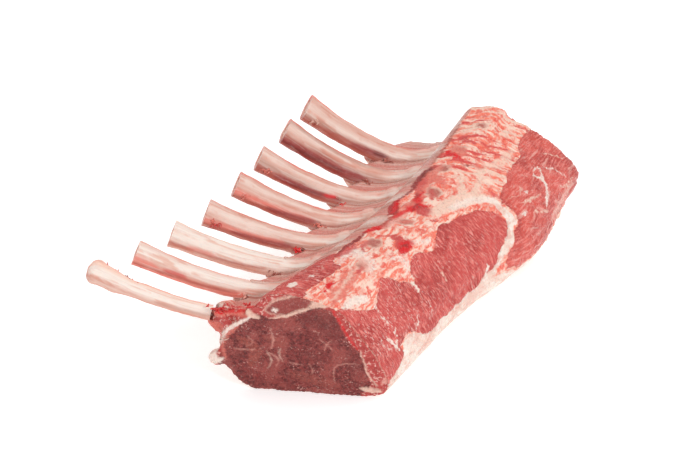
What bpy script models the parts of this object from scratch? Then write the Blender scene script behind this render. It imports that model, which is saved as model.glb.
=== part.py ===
"""Raw rack of lamb, French trimmed, lying on its fat side.

The loin (the round eye of meat) runs along Y. Eight ribs leave the sawn backbone on top of it and
curve out over -X. They lean towards -Y, and both cut ends lean with them, so the whole joint is
drawn in leaning sections: a section at station t holds the points (x, t + RIB_SLANT * x, z).

Nodes: meat, fat_cap, chine and rib_1 (loin end) to rib_8 (shoulder end). The origin is on the
resting face, under the eye, half way along the row of ribs. Units are metres.
"""

import math

import bmesh
import bpy
from mathutils import Matrix, Vector

MM = 0.001

# Driving dimensions.
RIB_COUNT = 8
RIB_PITCH = 23 * MM  # from rib to rib along the backbone
FIRST_RIB = 7 * MM  # from the loin-end cut to the middle of the first rib
LENGTH = 184 * MM  # of the loin, from cut to cut
RIB_SLANT = 0.5  # how far the ribs run towards -Y for each metre towards -X
GAP = 0.3 * MM  # left between pieces that touch
RIB_ROOM = 3 * GAP  # how much larger than the rib its room in the meat is
OVERSHOOT = 4 * MM  # how far a cutter runs past what it cuts

RIB_WIDTH = 14.2 * MM
RIB_THICKNESS = 6.6 * MM
RIB_FLATNESS = 0.8  # 1 is an ellipse, less has flatter sides
RIB_ROOT_SHARE = 0.8  # of width and thickness, where the rib meets the backbone
RIB_TWIST = math.radians(-28)  # the far edge of each rib stands higher
RIB_ROOT_X = -13 * MM  # where the ribs meet the backbone
RIB_LOW_X = -31 * MM  # where the ribs run level, before they rise to their tips
RIB_LOW_Z = (39.8 * MM, 35.0 * MM)  # middle of the bone there, at the loin and shoulder ends
RIB_ROOT_RISE = 6 * MM  # from there back up to the backbone
RIB_RISE_POWER = 1.6  # 2 would rise to the tip as a parabola, 1 as a straight line

# Reach of each tip from the middle of the eye, and its height over the board.
RIB_TIPS = (
    (94.0 * MM, 63.3 * MM),
    (85.0 * MM, 58.0 * MM),
    (82.0 * MM, 55.0 * MM),
    (79.0 * MM, 53.5 * MM),
    (77.5 * MM, 57.0 * MM),
    (79.0 * MM, 59.0 * MM),
    (78.5 * MM, 62.5 * MM),
    (80.0 * MM, 64.0 * MM),
)
KNOB_RIB = 1  # the first rib keeps its knob of gristle, the others are sawn through
KNOB_SHARE = 0.2  # of the rib's length
KNOB_NECK = 0.8  # of the rib's width, where the knob begins
KNOB_SWELL = 0.25  # of the rib's width, added on the knob
KNOB_END = 0.1  # keeps the rounded end from closing to a point

CHINE_WIDTH = 18 * MM
CHINE_THICKNESS = 9 * MM
CHINE_HEIGHT = (51.5 * MM, 58.5 * MM)  # at the loin and shoulder ends
CHINE_DIP = 3.5 * MM  # of that under the saddle of the meat
CHINE_X = -2 * MM
CHINE_LEAN = math.radians(8)  # the sawn bone slopes down towards the ribs

EYE_MIDDLE = (3 * MM, 27 * MM)
FAT_THICKNESS = 3.6 * MM
FAT_EDGE = 0.9 * MM  # where the fat thins out on both sides

SADDLE_DEPTH = 6 * MM  # how far the crest dips between the two ends
SADDLE_SHIFT = 5 * MM  # and how far it stands towards +X there
BULGE = 10 * MM  # the flank stands out where the shoulder muscles begin
BULGE_STATION = 122 * MM
BULGE_REACH = 38 * MM

OUTLINE_STEPS = 3  # points on each stretch of a section's outline
STATIONS = 19
CHINE_SIDES = 16
RIB_STEPS = 14
RIB_SIDES = 12
WELD = 0.01 * MM
SHARP_ANGLE = math.radians(40)

# The outline of the loin, anticlockwise from the board: name, then (x, z) in millimetres at the
# loin end and at the shoulder end. The saddle and the bulge move some of them in between.
OUTLINE = (
    ("rest_left", (-20, 0), (-21, 0)),
    ("rest_middle", (5, 0), (5, 0)),
    ("rest_right", (29, 0), (28, 0)),
    ("corner", (38, 6), (38, 7)),
    ("flank", (33, 24), (42.5, 23)),
    ("shoulder", (24, 40), (32, 38)),
    ("apex", (14, 54.5), (15, 53)),
    ("crest", (-5, 61), (-5, 62.5)),
    ("ridge", (-15, 58.5), (-12.5, 59)),
    ("ridge_foot", (-22.5, 48), (-18.5, 42)),
    ("wall_top", (-33, 40.5), (-30, 37)),
    ("wall_edge_top", (-42, 41), (-43, 37.5)),
    ("wall_edge_bottom", (-44, 34.5), (-45, 31)),
    ("wall_bottom", (-33, 31.5), (-36, 25)),
    ("side", (-35, 21), (-36.5, 15)),
    ("side_low", (-29.5, 8.5), (-30, 6.5)),
)
SADDLE_SHIFTS = ("apex", "crest", "ridge", "ridge_foot")
SADDLE_DIPS = ("crest", "ridge")
BULGE_SHIFTS = ("corner", "flank", "shoulder")
FAT_STARTS = "side"
FAT_ENDS = "flank"

COLOURS = {  # base colour, roughness
    "raw_meat": ((0.42, 0.06, 0.06), 0.35),
    "fat": ((0.87, 0.74, 0.64), 0.4),
    "bone": ((0.80, 0.62, 0.53), 0.45),
}


# --- The leaning sections ---


def mix(low, high, share):
    return low + (high - low) * share


def in_frame(station, x, z):
    """The point (x, z) of the leaning section at this station."""
    return Vector((x, station - LENGTH / 2 + RIB_SLANT * x, z))


def saddle(station):
    """How far the crest is into its dip: 0 at both cut ends, 1 half way."""
    return math.sin(math.pi * min(max(station / LENGTH, 0.0), 1.0))


def bulge(station):
    return BULGE * math.exp(-(((station - BULGE_STATION) / BULGE_REACH) ** 2))


def landmarks(station):
    """The named points of the outline at this station."""
    points = []
    for name, loin_end, shoulder_end in OUTLINE:
        point = Vector(loin_end).lerp(Vector(shoulder_end), station / LENGTH) * MM
        if name in SADDLE_SHIFTS:
            point.x += SADDLE_SHIFT * saddle(station)
        if name in SADDLE_DIPS:
            point.y -= SADDLE_DEPTH * saddle(station)
        if name in BULGE_SHIFTS:
            point.x += bulge(station)
        points.append(point)
    return points


def smooth_ring(points):
    """A closed Catmull-Rom curve through the points, kept above the board."""
    ring = []
    count = len(points)
    for i in range(count):
        before, start, end, after = (points[(i + k) % count] for k in (-1, 0, 1, 2))
        for step in range(OUTLINE_STEPS):
            u = step / OUTLINE_STEPS
            point = (
                2 * start
                + (end - before) * u
                + (2 * before - 5 * start + 4 * end - after) * u**2
                + (3 * start - before - 3 * end + after) * u**3
            ) / 2
            point.y = max(point.y, 0.0)
            ring.append(point)
    return ring


def inward(point, distance):
    """A point of the outline moved towards the middle of the eye."""
    return point + (Vector(EYE_MIDDLE) - point).normalized() * distance


def ring_index(name):
    """Where a landmark falls in the smoothed ring."""
    return [row[0] for row in OUTLINE].index(name) * OUTLINE_STEPS


def fat_cover():
    """(index, thickness) of the fat at each ring point that it covers, from side to flank."""
    count = len(OUTLINE) * OUTLINE_STEPS
    indices = [i % count for i in range(ring_index(FAT_STARTS) + 1, count + ring_index(FAT_ENDS))]
    last = len(indices) - 1
    fullness = [math.sin(math.pi * i / last) ** 0.5 for i in range(last + 1)]
    return [(i, mix(FAT_EDGE, FAT_THICKNESS, full)) for i, full in zip(indices, fullness)]


def fat_section(station):
    """A crescent: the outline under the eye, and the same line moved inward."""
    ring = smooth_ring(landmarks(station))
    outer = [ring[i] for i, _ in fat_cover()]
    inner = [inward(ring[i], depth) for i, depth in fat_cover()]
    return outer + inner[::-1]


def meat_section(station):
    """The outline where the meat is bare, and a gap inside the fat where it is covered."""
    ring = smooth_ring(landmarks(station))
    cover = fat_cover()
    under = [inward(ring[i], depth + GAP) for i, depth in cover]
    bare = ring[cover[-1][0] + 1 : cover[0][0]]
    return under + bare


def chine_section(station, grow=0.0):
    """An oval of sawn backbone: deep in the meat at the loin end, bare on top past half way."""
    height = mix(*CHINE_HEIGHT, station / LENGTH) - CHINE_DIP * saddle(station)
    middle = Vector((CHINE_X + SADDLE_SHIFT * saddle(station), height))
    turn = Matrix.Rotation(CHINE_LEAN, 2)
    points = []
    for i in range(CHINE_SIDES):
        angle = math.tau * i / CHINE_SIDES
        across = (CHINE_WIDTH / 2 + grow) * math.cos(angle)
        up = (CHINE_THICKNESS / 2 + grow) * math.sin(angle)
        points.append(middle + turn @ Vector((across, up)))
    return points


def loft(name, section, start=0.0, end=LENGTH):
    """A closed skin through the leaning sections from start to end, with flat ends."""
    bm = bmesh.new()
    rings = []
    for i in range(STATIONS):
        station = mix(start, end, i / (STATIONS - 1))
        rings.append([bm.verts.new(in_frame(station, *point)) for point in section(station)])
    for near, far in zip(rings, rings[1:]):
        for i in range(len(near)):
            bm.faces.new((near[i - 1], near[i], far[i], far[i - 1]))
    bm.faces.new(rings[0][::-1])
    bm.faces.new(rings[-1])
    bmesh.ops.recalc_face_normals(bm, faces=bm.faces)
    bmesh.ops.triangulate(bm, faces=[face for face in bm.faces if len(face.verts) > 4])
    mesh = bpy.data.meshes.new(name)
    bm.to_mesh(mesh)
    bm.free()
    return bpy.data.objects.new(name, mesh)


# --- Ribs ---


def rib_low(number):
    """(x, z) of the lowest point of a rib's centre line."""
    return RIB_LOW_X, mix(*RIB_LOW_Z, (number - 1) / (RIB_COUNT - 1))


def rib_point(number, share, overrun=0.0):
    """(x, z) of a rib's centre line, from its root at 0 to its tip at 1."""
    reach, tip_z = RIB_TIPS[number - 1]
    low_x, low_z = rib_low(number)
    x = mix(RIB_ROOT_X + overrun, -reach, share)
    if x > low_x:
        return x, low_z + RIB_ROOT_RISE * ((x - low_x) / (RIB_ROOT_X - low_x)) ** 2
    return x, low_z + (tip_z - low_z) * ((low_x - x) / (reach + low_x)) ** RIB_RISE_POWER


def rib_swell(number, share):
    """How wide the rib is at this share of its length, as a share of RIB_WIDTH."""
    width = mix(RIB_ROOT_SHARE, 1.0, share)
    if number != KNOB_RIB:
        return width
    into_knob = max(0.0, (share - 1 + KNOB_SHARE) / KNOB_SHARE)
    rounding = math.sqrt(max(1 - into_knob**4, KNOB_END))
    return (width * KNOB_NECK + KNOB_SWELL * math.sin(math.pi * into_knob)) * rounding


def flattened(cosine):
    """Takes a circle to an oval with flatter sides."""
    return math.copysign(abs(cosine) ** RIB_FLATNESS, cosine)


def oval(name, width, thickness):
    """The cross section of a rib: a closed curve that other curves are bevelled with."""
    curve = bpy.data.curves.new(name, "CURVE")
    spline = curve.splines.new("POLY")
    spline.points.add(RIB_SIDES - 1)
    for i, point in enumerate(spline.points):
        angle = math.tau * (i + 0.5) / RIB_SIDES
        across, up = flattened(math.cos(angle)), flattened(math.sin(angle))
        point.co = (width / 2 * across, thickness / 2 * up, 0, 1)
    spline.use_cyclic_u = True
    return bpy.data.objects.new(name, curve)


def rib(name, number, profile, overrun=0.0):
    """A rib swept along its centre line and made a mesh, with its caps welded on."""
    station = FIRST_RIB + (number - 1) * RIB_PITCH
    curve = bpy.data.curves.new(name, "CURVE")
    curve.dimensions = "3D"
    curve.twist_mode = "Z_UP"
    curve.bevel_mode = "OBJECT"
    curve.bevel_object = profile
    curve.use_fill_caps = True
    spline = curve.splines.new("POLY")
    spline.points.add(RIB_STEPS)
    for i, point in enumerate(spline.points):
        share = i / RIB_STEPS
        x, z = rib_point(number, share, overrun)
        point.co = (*in_frame(station, x, z), 1)
        point.radius = rib_swell(number, share)
        point.tilt = RIB_TWIST
    swept = bpy.data.objects.new(name, curve)
    bpy.context.scene.collection.objects.link(swept)
    graph = bpy.context.evaluated_depsgraph_get()
    mesh = bpy.data.meshes.new_from_object(swept.evaluated_get(graph))
    bpy.data.objects.remove(swept)
    bm = bmesh.new()
    bm.from_mesh(mesh)
    bmesh.ops.remove_doubles(bm, verts=bm.verts, dist=WELD)
    bmesh.ops.recalc_face_normals(bm, faces=bm.faces)
    bm.to_mesh(mesh)
    bm.free()
    mesh.name = name
    return bpy.data.objects.new(name, mesh)


# --- Finish and assembly ---


def material(name):
    colour, roughness = COLOURS[name]
    made = bpy.data.materials.new(name)
    made.use_nodes = True
    shader = made.node_tree.nodes["Principled BSDF"]
    shader.inputs["Base Color"].default_value = (*colour, 1)
    shader.inputs["Roughness"].default_value = roughness
    shader.inputs["Metallic"].default_value = 0.0
    return made


def add_part(obj, collection, finish):
    collection.objects.link(obj)
    obj.data.materials.clear()
    obj.data.materials.append(finish)
    obj.data.shade_smooth()
    obj.data.set_sharp_from_angle(angle=SHARP_ANGLE)


def add_cutter(obj, collection):
    collection.objects.link(obj)
    obj.hide_render = True
    obj.display_type = "WIRE"


def cut(obj, cutter):
    modifier = obj.modifiers.new("room for " + cutter.name, "BOOLEAN")
    modifier.operation = "DIFFERENCE"
    modifier.object = cutter


def main():
    for obj in list(bpy.data.objects):
        bpy.data.objects.remove(obj)
    scene = bpy.context.scene
    parts = bpy.data.collections.new("rack_of_lamb")
    cutters = bpy.data.collections.new("cutters")
    scene.collection.children.link(parts)
    scene.collection.children.link(cutters)
    finishes = {name: material(name) for name in COLOURS}

    meat = loft("meat", meat_section)
    add_part(meat, parts, finishes["raw_meat"])
    add_part(loft("fat_cap", fat_section), parts, finishes["fat"])
    add_part(loft("chine", chine_section), parts, finishes["bone"])
    chine_room = loft(
        "chine_room",
        lambda station: chine_section(station, GAP),
        start=-OVERSHOOT,
        end=LENGTH + OVERSHOOT,
    )
    add_cutter(chine_room, cutters)
    cut(meat, chine_room)

    rib_profile = oval("rib_profile", RIB_WIDTH, RIB_THICKNESS)
    room_profile = oval("room_profile", RIB_WIDTH + RIB_ROOM, RIB_THICKNESS + RIB_ROOM)
    add_cutter(rib_profile, cutters)
    add_cutter(room_profile, cutters)
    for number in range(1, RIB_COUNT + 1):
        bone = rib(f"rib_{number}", number, rib_profile)
        room = rib(f"rib_room_{number}", number, room_profile, overrun=RIB_ROOM)
        add_part(bone, parts, finishes["bone"])
        add_cutter(room, cutters)
        cut(meat, room)


main()
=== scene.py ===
# %% [markdown]
# # Raw rack of lamb
# A rack is eight ribs of lamb with the loin still on them. The butcher saws through the backbone,
# trims the outside down to the fat, and scrapes the ends of the ribs bare, which is called
# French trimming. Here it lies on its fat side, so the camera sees the dark cut face of the loin,
# the red flank, the pink and cream crest with its sawn backbone, and the bare ribs.

import math

import bmesh
import bpy
import numpy as np
from mathutils import Matrix, Vector, noise


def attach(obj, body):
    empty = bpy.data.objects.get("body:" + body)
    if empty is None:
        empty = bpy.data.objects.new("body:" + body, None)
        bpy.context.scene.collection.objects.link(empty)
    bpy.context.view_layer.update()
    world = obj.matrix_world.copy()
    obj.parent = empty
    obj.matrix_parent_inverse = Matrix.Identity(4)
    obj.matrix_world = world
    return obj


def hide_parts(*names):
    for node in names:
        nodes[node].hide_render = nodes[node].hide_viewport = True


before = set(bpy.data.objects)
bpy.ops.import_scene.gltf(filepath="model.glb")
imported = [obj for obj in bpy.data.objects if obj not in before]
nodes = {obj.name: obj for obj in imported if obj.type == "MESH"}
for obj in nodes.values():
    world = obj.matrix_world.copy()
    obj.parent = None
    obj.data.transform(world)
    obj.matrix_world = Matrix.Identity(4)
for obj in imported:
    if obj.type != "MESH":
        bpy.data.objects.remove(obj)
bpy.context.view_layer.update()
MM = 0.001

# %% [markdown]
# ## Camera, floor and light
# The camera looks down at the loin end from its right, through a long lens, so that the rack isn't
# stretched. The floor is plain and pale. The light comes from all round, as in a light tent, with
# one large soft lamp over the rack that models its round top.

# %% Camera
AZIMUTH = math.radians(33)
ELEVATION = math.radians(38)
LOOK_AT = Vector((-0.0055, -0.0388, 0.0609))
DISTANCE = 0.9485

forward = Vector(
    (
        -math.sin(AZIMUTH) * math.cos(ELEVATION),
        math.cos(AZIMUTH) * math.cos(ELEVATION),
        -math.sin(ELEVATION),
    )
)
scene = bpy.context.scene
camera = bpy.data.objects.new("camera", bpy.data.cameras.new("camera"))
camera.data.lens = 100
camera.data.sensor_width = 36
camera.data.clip_start = 0.01
camera.location = LOOK_AT - forward * DISTANCE
camera.rotation_euler = forward.to_track_quat("-Z", "Y").to_euler()
scene.collection.objects.link(camera)
scene.camera = camera
print("camera at", [round(v, 3) for v in camera.location])

# %% Floor and light
FLOOR_SIZE = 6.0
SKY = 0.78

floor_mesh = bpy.data.meshes.new("floor")
floor_bm = bmesh.new()
bmesh.ops.create_grid(floor_bm, x_segments=1, y_segments=1, size=FLOOR_SIZE / 2)
floor_bm.to_mesh(floor_mesh)
floor_bm.free()
floor = bpy.data.objects.new("floor", floor_mesh)
scene.collection.objects.link(floor)
floor_paint = bpy.data.materials.new("pale floor")
floor_paint.use_nodes = True
floor_shader = floor_paint.node_tree.nodes["Principled BSDF"]
floor_shader.inputs["Base Color"].default_value = (0.96, 0.96, 0.96, 1)
floor_shader.inputs["Roughness"].default_value = 0.9
floor_shader.inputs["Emission Color"].default_value = (1, 1, 1, 1)
floor_shader.inputs["Emission Strength"].default_value = 0.32
floor.data.materials.append(floor_paint)

world = bpy.data.worlds.new("light tent")
world.use_nodes = True
world.node_tree.nodes["Background"].inputs["Color"].default_value = (1, 1, 1, 1)
world.node_tree.nodes["Background"].inputs["Strength"].default_value = SKY
scene.world = world
scene.view_settings.view_transform = "Standard"


def soft_lamp(name, power, size, place, target):
    lamp = bpy.data.objects.new(name, bpy.data.lights.new(name, "AREA"))
    lamp.data.energy = power
    lamp.data.size = size
    lamp.location = place
    lamp.rotation_euler = (Vector(target) - Vector(place)).to_track_quat("-Z", "Y").to_euler()
    scene.collection.objects.link(lamp)
    return lamp


soft_lamp("over the rack", 3.4, 0.7, (0.1, 0.35, 1.2), (0, 0, 0.03))
soft_lamp("beside the camera", 2.8, 0.2, (0.9, -0.3, 0.85), (0, 0, 0.03))
print("sky strength", SKY)

# %% [markdown]
# ## Where a point is on the rack
# Both cut ends lean, and so do the ribs, so a plain X, Y, Z says little about the meat. Two other
# numbers do: the station, which is how far along the loin a point is, and its angle around the
# middle of the eye, from 0 on the right flank over 90 on the crest to 180 on the left. The whole
# outside can be unrolled like a label with those two, and every muscle and seam drawn on it.

# %% Station and angle
SLANT = 0.5  # metres towards -Y for each metre towards -X
EYE_X, EYE_Z = 3.0, 27.0  # middle of the eye of meat, mm
ARC = 0.6  # mm of skin for each degree around the eye
SPLIT_ANGLE = -100  # the label is cut open here, under the rack


def points_of(mesh):
    flat = np.empty(len(mesh.vertices) * 3)
    mesh.vertices.foreach_get("co", flat)
    return flat.reshape(-1, 3)


def lean(points):
    """Y of each point with the lean taken out, in metres."""
    return points[:, 1] - SLANT * points[:, 0]


meat_lean = lean(points_of(nodes["meat"].data))
START = meat_lean.min()
LENGTH = (meat_lean.max() - START) / MM


def unroll(points):
    """Station in mm, angle in degrees, and the section's own x and z in mm."""
    station = (lean(points) - START) / MM
    x, z = points[:, 0] / MM, points[:, 2] / MM
    angle = np.degrees(np.arctan2(z - EYE_Z, x - EYE_X))
    return station, np.where(angle < SPLIT_ANGLE, angle + 360, angle), x, z


print("the loin is", round(LENGTH, 1), "mm long")

# %% [markdown]
# ## One skin over meat, fat and backbone
# On the real rack the muscles, the fat and the bone have grown together, and the ribs run on under
# the shiny inner membrane. Separate meshes would show gaps between them. So merged copies of the
# CAD solids, swollen a hair to close the gaps, are wrapped in one voxel skin, which is smoothed and
# made finer on the near cut face, because that face shows the smallest detail.

# %% Wrap the solids
SWELL = 0.3 * MM
VOXEL = 0.97 * MM
SMOOTHING = 4
RIB_PITCH, FIRST_RIB = 23, 7  # mm
WALL_FOLD, CAD_WALL_EDGE = -22, -44.5  # x, mm
WALL_EDGE = (  # station and x of the free edge halfway between two ribs, mm
    (0, -37), (12, -40), (19, -40), (41, -37.5), (64, -36), (87, -41), (110, -43), (133, -46),
    (156, -50), (170, -48), (184, -45),
)  # fmt: skip
ROOT_COVER = -1.5  # mm that the skin over a rib reaches past the free edge
EXTRA_LUMPS = (  # station, x, z, half sizes along the loin, across and up, mm
    (7, -35, 37, 7, 6, 8),
    (6, -33, 27, 6, 4, 9),
    (1.5, -36.5, 18, 3.0, 4.0, 5.4),
    (5.5, -38, 43, 4.5, 5, 4.6),
    (5, -29, 46, 4, 7, 3.2),
    (4, -21, 49, 3.5, 5, 2.6),
    (12, -39, 42, 5, 3, 3),
)


def welded(name):
    bm = bmesh.new()
    bm.from_mesh(nodes[name].data)
    bmesh.ops.remove_doubles(bm, verts=bm.verts, dist=0.001 * MM)
    return bm


def trim_tip(bm, x):
    """Cuts off everything past this X and closes the cut."""
    everything = bm.verts[:] + bm.edges[:] + bm.faces[:]
    cut = bmesh.ops.bisect_plane(
        bm, geom=everything, plane_co=(x, 0, 0), plane_no=(-1, 0, 0), clear_outer=True
    )
    rim = [part for part in cut["geom_cut"] if isinstance(part, bmesh.types.BMEdge)]
    bmesh.ops.contextual_create(bm, geom=rim)


def swell(bm, distance):
    bm.normal_update()
    for vert in bm.verts:
        vert.co += vert.normal * distance


def on_rack(station, x, z):
    """The place of a point given by its station and section, mm in, metres out."""
    return Vector((x * MM, START + station * MM + SLANT * x * MM, z * MM))


def lump(station, x, z, *half_sizes):
    bm = bmesh.new()
    bmesh.ops.create_icosphere(bm, subdivisions=3, radius=1)
    along, across, up = half_sizes
    for vert in bm.verts:
        u, v, w = vert.co
        vert.co = on_rack(station + v * along, x + u * across, z + w * up)
    return bm


def joined(solids):
    whole = bmesh.new()
    for bm in solids:
        mesh = bpy.data.meshes.new("solid")
        bm.to_mesh(mesh)
        bm.free()
        whole.from_mesh(mesh)
        bpy.data.meshes.remove(mesh)
    return whole


def evaluated_mesh(obj):
    graph = bpy.context.evaluated_depsgraph_get()
    graph.update()
    return bpy.data.meshes.new_from_object(obj.evaluated_get(graph))


def add_object(name, mesh):
    made = bpy.data.objects.new(name, mesh)
    scene.collection.objects.link(made)
    return made


def keep_largest(bm):
    """Deletes all but the largest connected piece of a mesh."""
    unseen = set(bm.verts)
    largest = set()
    while unseen:
        island = {unseen.pop()}
        edge_of = list(island)
        while edge_of:
            for edge in edge_of.pop().link_edges:
                for vert in edge.verts:
                    if vert in unseen:
                        unseen.discard(vert)
                        island.add(vert)
                        edge_of.append(vert)
        if len(island) > len(largest):
            largest = island
    bmesh.ops.delete(bm, geom=[v for v in bm.verts if v not in largest], context="VERTS")


RIBS = sorted(name for name in nodes if name.startswith("rib_"))
solids = [welded(name) for name in ("meat", "fat_cap", "chine")]
for number, name in enumerate(RIBS):
    root = welded(name)
    edge = np.interp(FIRST_RIB + RIB_PITCH * number, *np.array(WALL_EDGE).T)
    trim_tip(root, (edge + ROOT_COVER) * MM)
    solids.append(root)
for bm in solids:
    swell(bm, SWELL)
solids += [lump(*row) for row in EXTRA_LUMPS]
rough = bpy.data.meshes.new("wrapping")
joined(solids).to_mesh(rough)
wrapping = add_object("wrapping", rough)
skin = wrapping.modifiers.new("skin", "REMESH")
skin.mode = "VOXEL"
skin.voxel_size = VOXEL
flesh_bm = bmesh.new()
flesh_bm.from_mesh(evaluated_mesh(wrapping))
bpy.data.objects.remove(wrapping)
keep_largest(flesh_bm)
print("skin of", len(flesh_bm.verts), "points")

# %% [markdown]
# ## Where the ribs run
# Thin slices through each CAD rib give the middle of the bone from root to tip. The skin uses that
# line to close in round the bone where the meat ends, and the bared ribs are drawn along it later.

# %% Centre line of each CAD rib
SLICES = 14
SAWN_LENGTH = 7 * MM  # the sawn end leans, so slices stop this far short of the tip
TIP_INSET = 1.5 * MM  # from the tip's lowest X to the middle of the sawn end
KNOB_INSET = 5.7 * MM  # the same to where the knob of rib 1 starts to round off


def centre_line(name):
    """Points along the middle of a CAD rib, root first, and the area of its section at each."""
    xs = points_of(nodes[name].data)[:, 0]
    low, high = xs.min() + SAWN_LENGTH, xs.max() - 2 * MM
    places, areas = [], []
    for i in range(SLICES):
        x = high + (low - high) * i / (SLICES - 1)
        bm = welded(name)
        trim_tip(bm, x)
        bm.normal_update()
        lid = max(bm.faces, key=lambda face: -face.normal.x * face.calc_area())
        places.append(lid.calc_center_median_weighted())
        areas.append(lid.calc_area())
        bm.free()
    places, areas = np.array(places), np.array(areas)
    run = np.gradient(places, axis=0)
    run /= np.linalg.norm(run, axis=1)[:, None]
    areas = areas * np.abs(run[:, 0])
    inset = KNOB_INSET if name == "rib_1" else TIP_INSET
    to_tip = (xs.min() + inset - places[-1, 0]) / run[-1, 0]
    return np.vstack((places, places[-1] + run[-1] * to_tip)), np.append(areas, areas[-1])


rib_lines = {name: centre_line(name) for name in RIBS}
full_area = max(areas.max() for name, (_, areas) in rib_lines.items() if name != "rib_1")
print("largest section of a rib:", round(full_area / MM**2, 1), "mm2")

# %% Smooth the skin and trim the inner wall between the ribs
FACE_DEPTH = 1.2  # mm of station
EDGE_AT_RIB = 4.0  # mm that the edge reaches further out on a rib
EDGE_SKEW = 0.7  # mm that the edge reaches further out for each mm towards the rib on the loin's side


def near_face_edges(bm):
    points = np.array([vert.co for vert in bm.verts])
    close = unroll(points)[0] < FACE_DEPTH
    bm.verts.index_update()
    return [e for e in bm.edges if close[e.verts[0].index] and close[e.verts[1].index]]


def ease(values, low, high):
    """0 below low, 1 above high, and smooth between them."""
    share = np.clip((values - low) / (high - low), 0, 1)
    return share * share * (3 - 2 * share)


def from_rib(station):
    """Distance in mm along the loin to the middle of the nearest rib."""
    return np.abs((station - FIRST_RIB + RIB_PITCH / 2) % RIB_PITCH - RIB_PITCH / 2)


def past_gap(station):
    """Signed distance in mm along the loin to the middle of the nearest gap between two ribs."""
    return (station - FIRST_RIB) % RIB_PITCH - RIB_PITCH / 2


for turn in range(SMOOTHING):
    bmesh.ops.smooth_vert(
        flesh_bm, verts=flesh_bm.verts, factor=0.5, use_axis_x=True, use_axis_y=True, use_axis_z=True
    )
bmesh.ops.subdivide_edges(flesh_bm, edges=near_face_edges(flesh_bm), cuts=1, use_grid_fill=True)
bmesh.ops.triangulate(flesh_bm, faces=[f for f in flesh_bm.faces if len(f.verts) > 4])
flesh_mesh = bpy.data.meshes.new("flesh")
flesh_bm.to_mesh(flesh_mesh)
flesh_bm.free()
flesh = add_object("flesh", flesh_mesh)

points = points_of(flesh.data)
station, angle, section_x, section_z = unroll(points)
edge_x = np.interp(station, *np.array(WALL_EDGE).T)
edge_x = edge_x - EDGE_AT_RIB * ease(-from_rib(station), -8, -4)
edge_x = edge_x + EDGE_SKEW * past_gap(station) * ease(from_rib(station), 3, 7)
reach = np.clip((WALL_FOLD - section_x) / (WALL_FOLD - CAD_WALL_EDGE), 0, 1)
trimmed_x = WALL_FOLD - reach * (WALL_FOLD - edge_x)
is_wall = ease(section_z, 28, 33) * (section_x < WALL_FOLD)
shift = (trimmed_x - section_x) * is_wall * MM
points[:, 0] += shift
points[:, 1] += SLANT * shift
print("finer skin of", len(flesh_mesh.vertices), "points")

# %% Draw the skin in round each bone where the meat ends
COLLAR = (-2.5, 2.5)  # mm outside and inside the free edge between which the skin closes in
CLOSED = 0.3  # share of its distance to the bone's middle that is left

tucked = np.zeros(len(points))
for number, name in enumerate(RIBS):
    middle = rib_lines[name][0][::-1]
    centre = np.column_stack([points[:, 0]] + [np.interp(points[:, 0], middle[:, 0], middle[:, k]) for k in (1, 2)])
    beside = np.abs(lean(points) - lean(centre)) / MM
    past_edge = ease(-(points[:, 0] / MM - edge_x), -COLLAR[1], -COLLAR[0])
    close = past_edge * (1 - ease(beside, 7, 10)) * (section_x < -28) * (section_z > 26)
    points += (centre - points) * ((1 - CLOSED) * close)[:, None]
    tucked = np.maximum(tucked, close)
print("points drawn in under the bones:", int((tucked > 0.5).sum()))
flesh.data.vertices.foreach_set("co", points.ravel())
flesh.data.update()

# %% [markdown]
# ## Drawing on the unrolled skin
# A muscle's edge is an outline of a few points on the label, in mm of station and degrees of angle.
# A smooth curve goes through the points, and each point of the skin gets its distance to that curve,
# positive inside. Noise shifts the skin's points before they are measured, so that the edges fray
# like real tissue, and the distance becomes a mask from 0 to 1 that is soft at the edge.

# %% Noise, curves and distances
def ripple(points, size, seed, octaves=2):
    """Smooth noise, about -1 to 1, at each point. size is the width of its lumps."""
    shift = Vector((seed * 17.3, seed * 5.1, seed * 9.7))
    scaled = points / size
    return np.array([noise.fractal(Vector(p) + shift, 1.0, 2.0, octaves) for p in scaled])


def smooth_curve(points, closed, steps=6):
    """A Catmull-Rom curve through the points."""
    points = np.array(points, float)
    count = len(points)
    last = count if closed else count - 1
    curve = []
    for i in range(last):
        near = [i - 1, i, i + 1, i + 2]
        near = [k % count if closed else min(max(k, 0), count - 1) for k in near]
        a, b, c, d = points[near]
        for step in range(steps):
            u = step / steps
            curve.append(
                (2 * b + (c - a) * u + (2 * a - 5 * b + 4 * c - d) * u**2 + (3 * b - a - 3 * c + d) * u**3) / 2
            )
    if not closed:
        curve.append(points[-1])
    return np.array(curve)


def distance_to(spots, curve, closed):
    """Distance from each spot to the curve, and how far along it the nearest place is."""
    ends = np.roll(curve, -1, axis=0) if closed else curve[1:]
    starts = curve if closed else curve[:-1]
    best = np.full(len(spots), np.inf)
    along = np.zeros(len(spots))
    for i, (start, end) in enumerate(zip(starts, ends)):
        run = end - start
        share = np.clip(((spots - start) @ run) / max(run @ run, 1e-9), 0, 1)
        away = np.hypot(*(spots - start - share[:, None] * run).T)
        closer = away < best
        best[closer] = away[closer]
        along[closer] = (i + share[closer]) / len(starts)
    return best, along


def inside(spots, curve):
    """True for spots inside a closed curve, by counting the crossings to their right."""
    hit = np.zeros(len(spots), bool)
    u, v = spots.T
    for (u0, v0), (u1, v1) in zip(curve, np.roll(curve, -1, axis=0)):
        if v0 == v1:
            continue
        crosses = ((v0 > v) != (v1 > v)) & (u < (u1 - u0) * (v - v0) / (v1 - v0) + u0)
        hit ^= crosses
    return hit


def depth_in(spots, outline):
    """How deep each spot lies inside an outline, in mm, negative outside it."""
    curve = smooth_curve(outline, closed=True)
    away, _ = distance_to(spots, curve, closed=True)
    return np.where(inside(spots, curve), away, -away)


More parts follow.
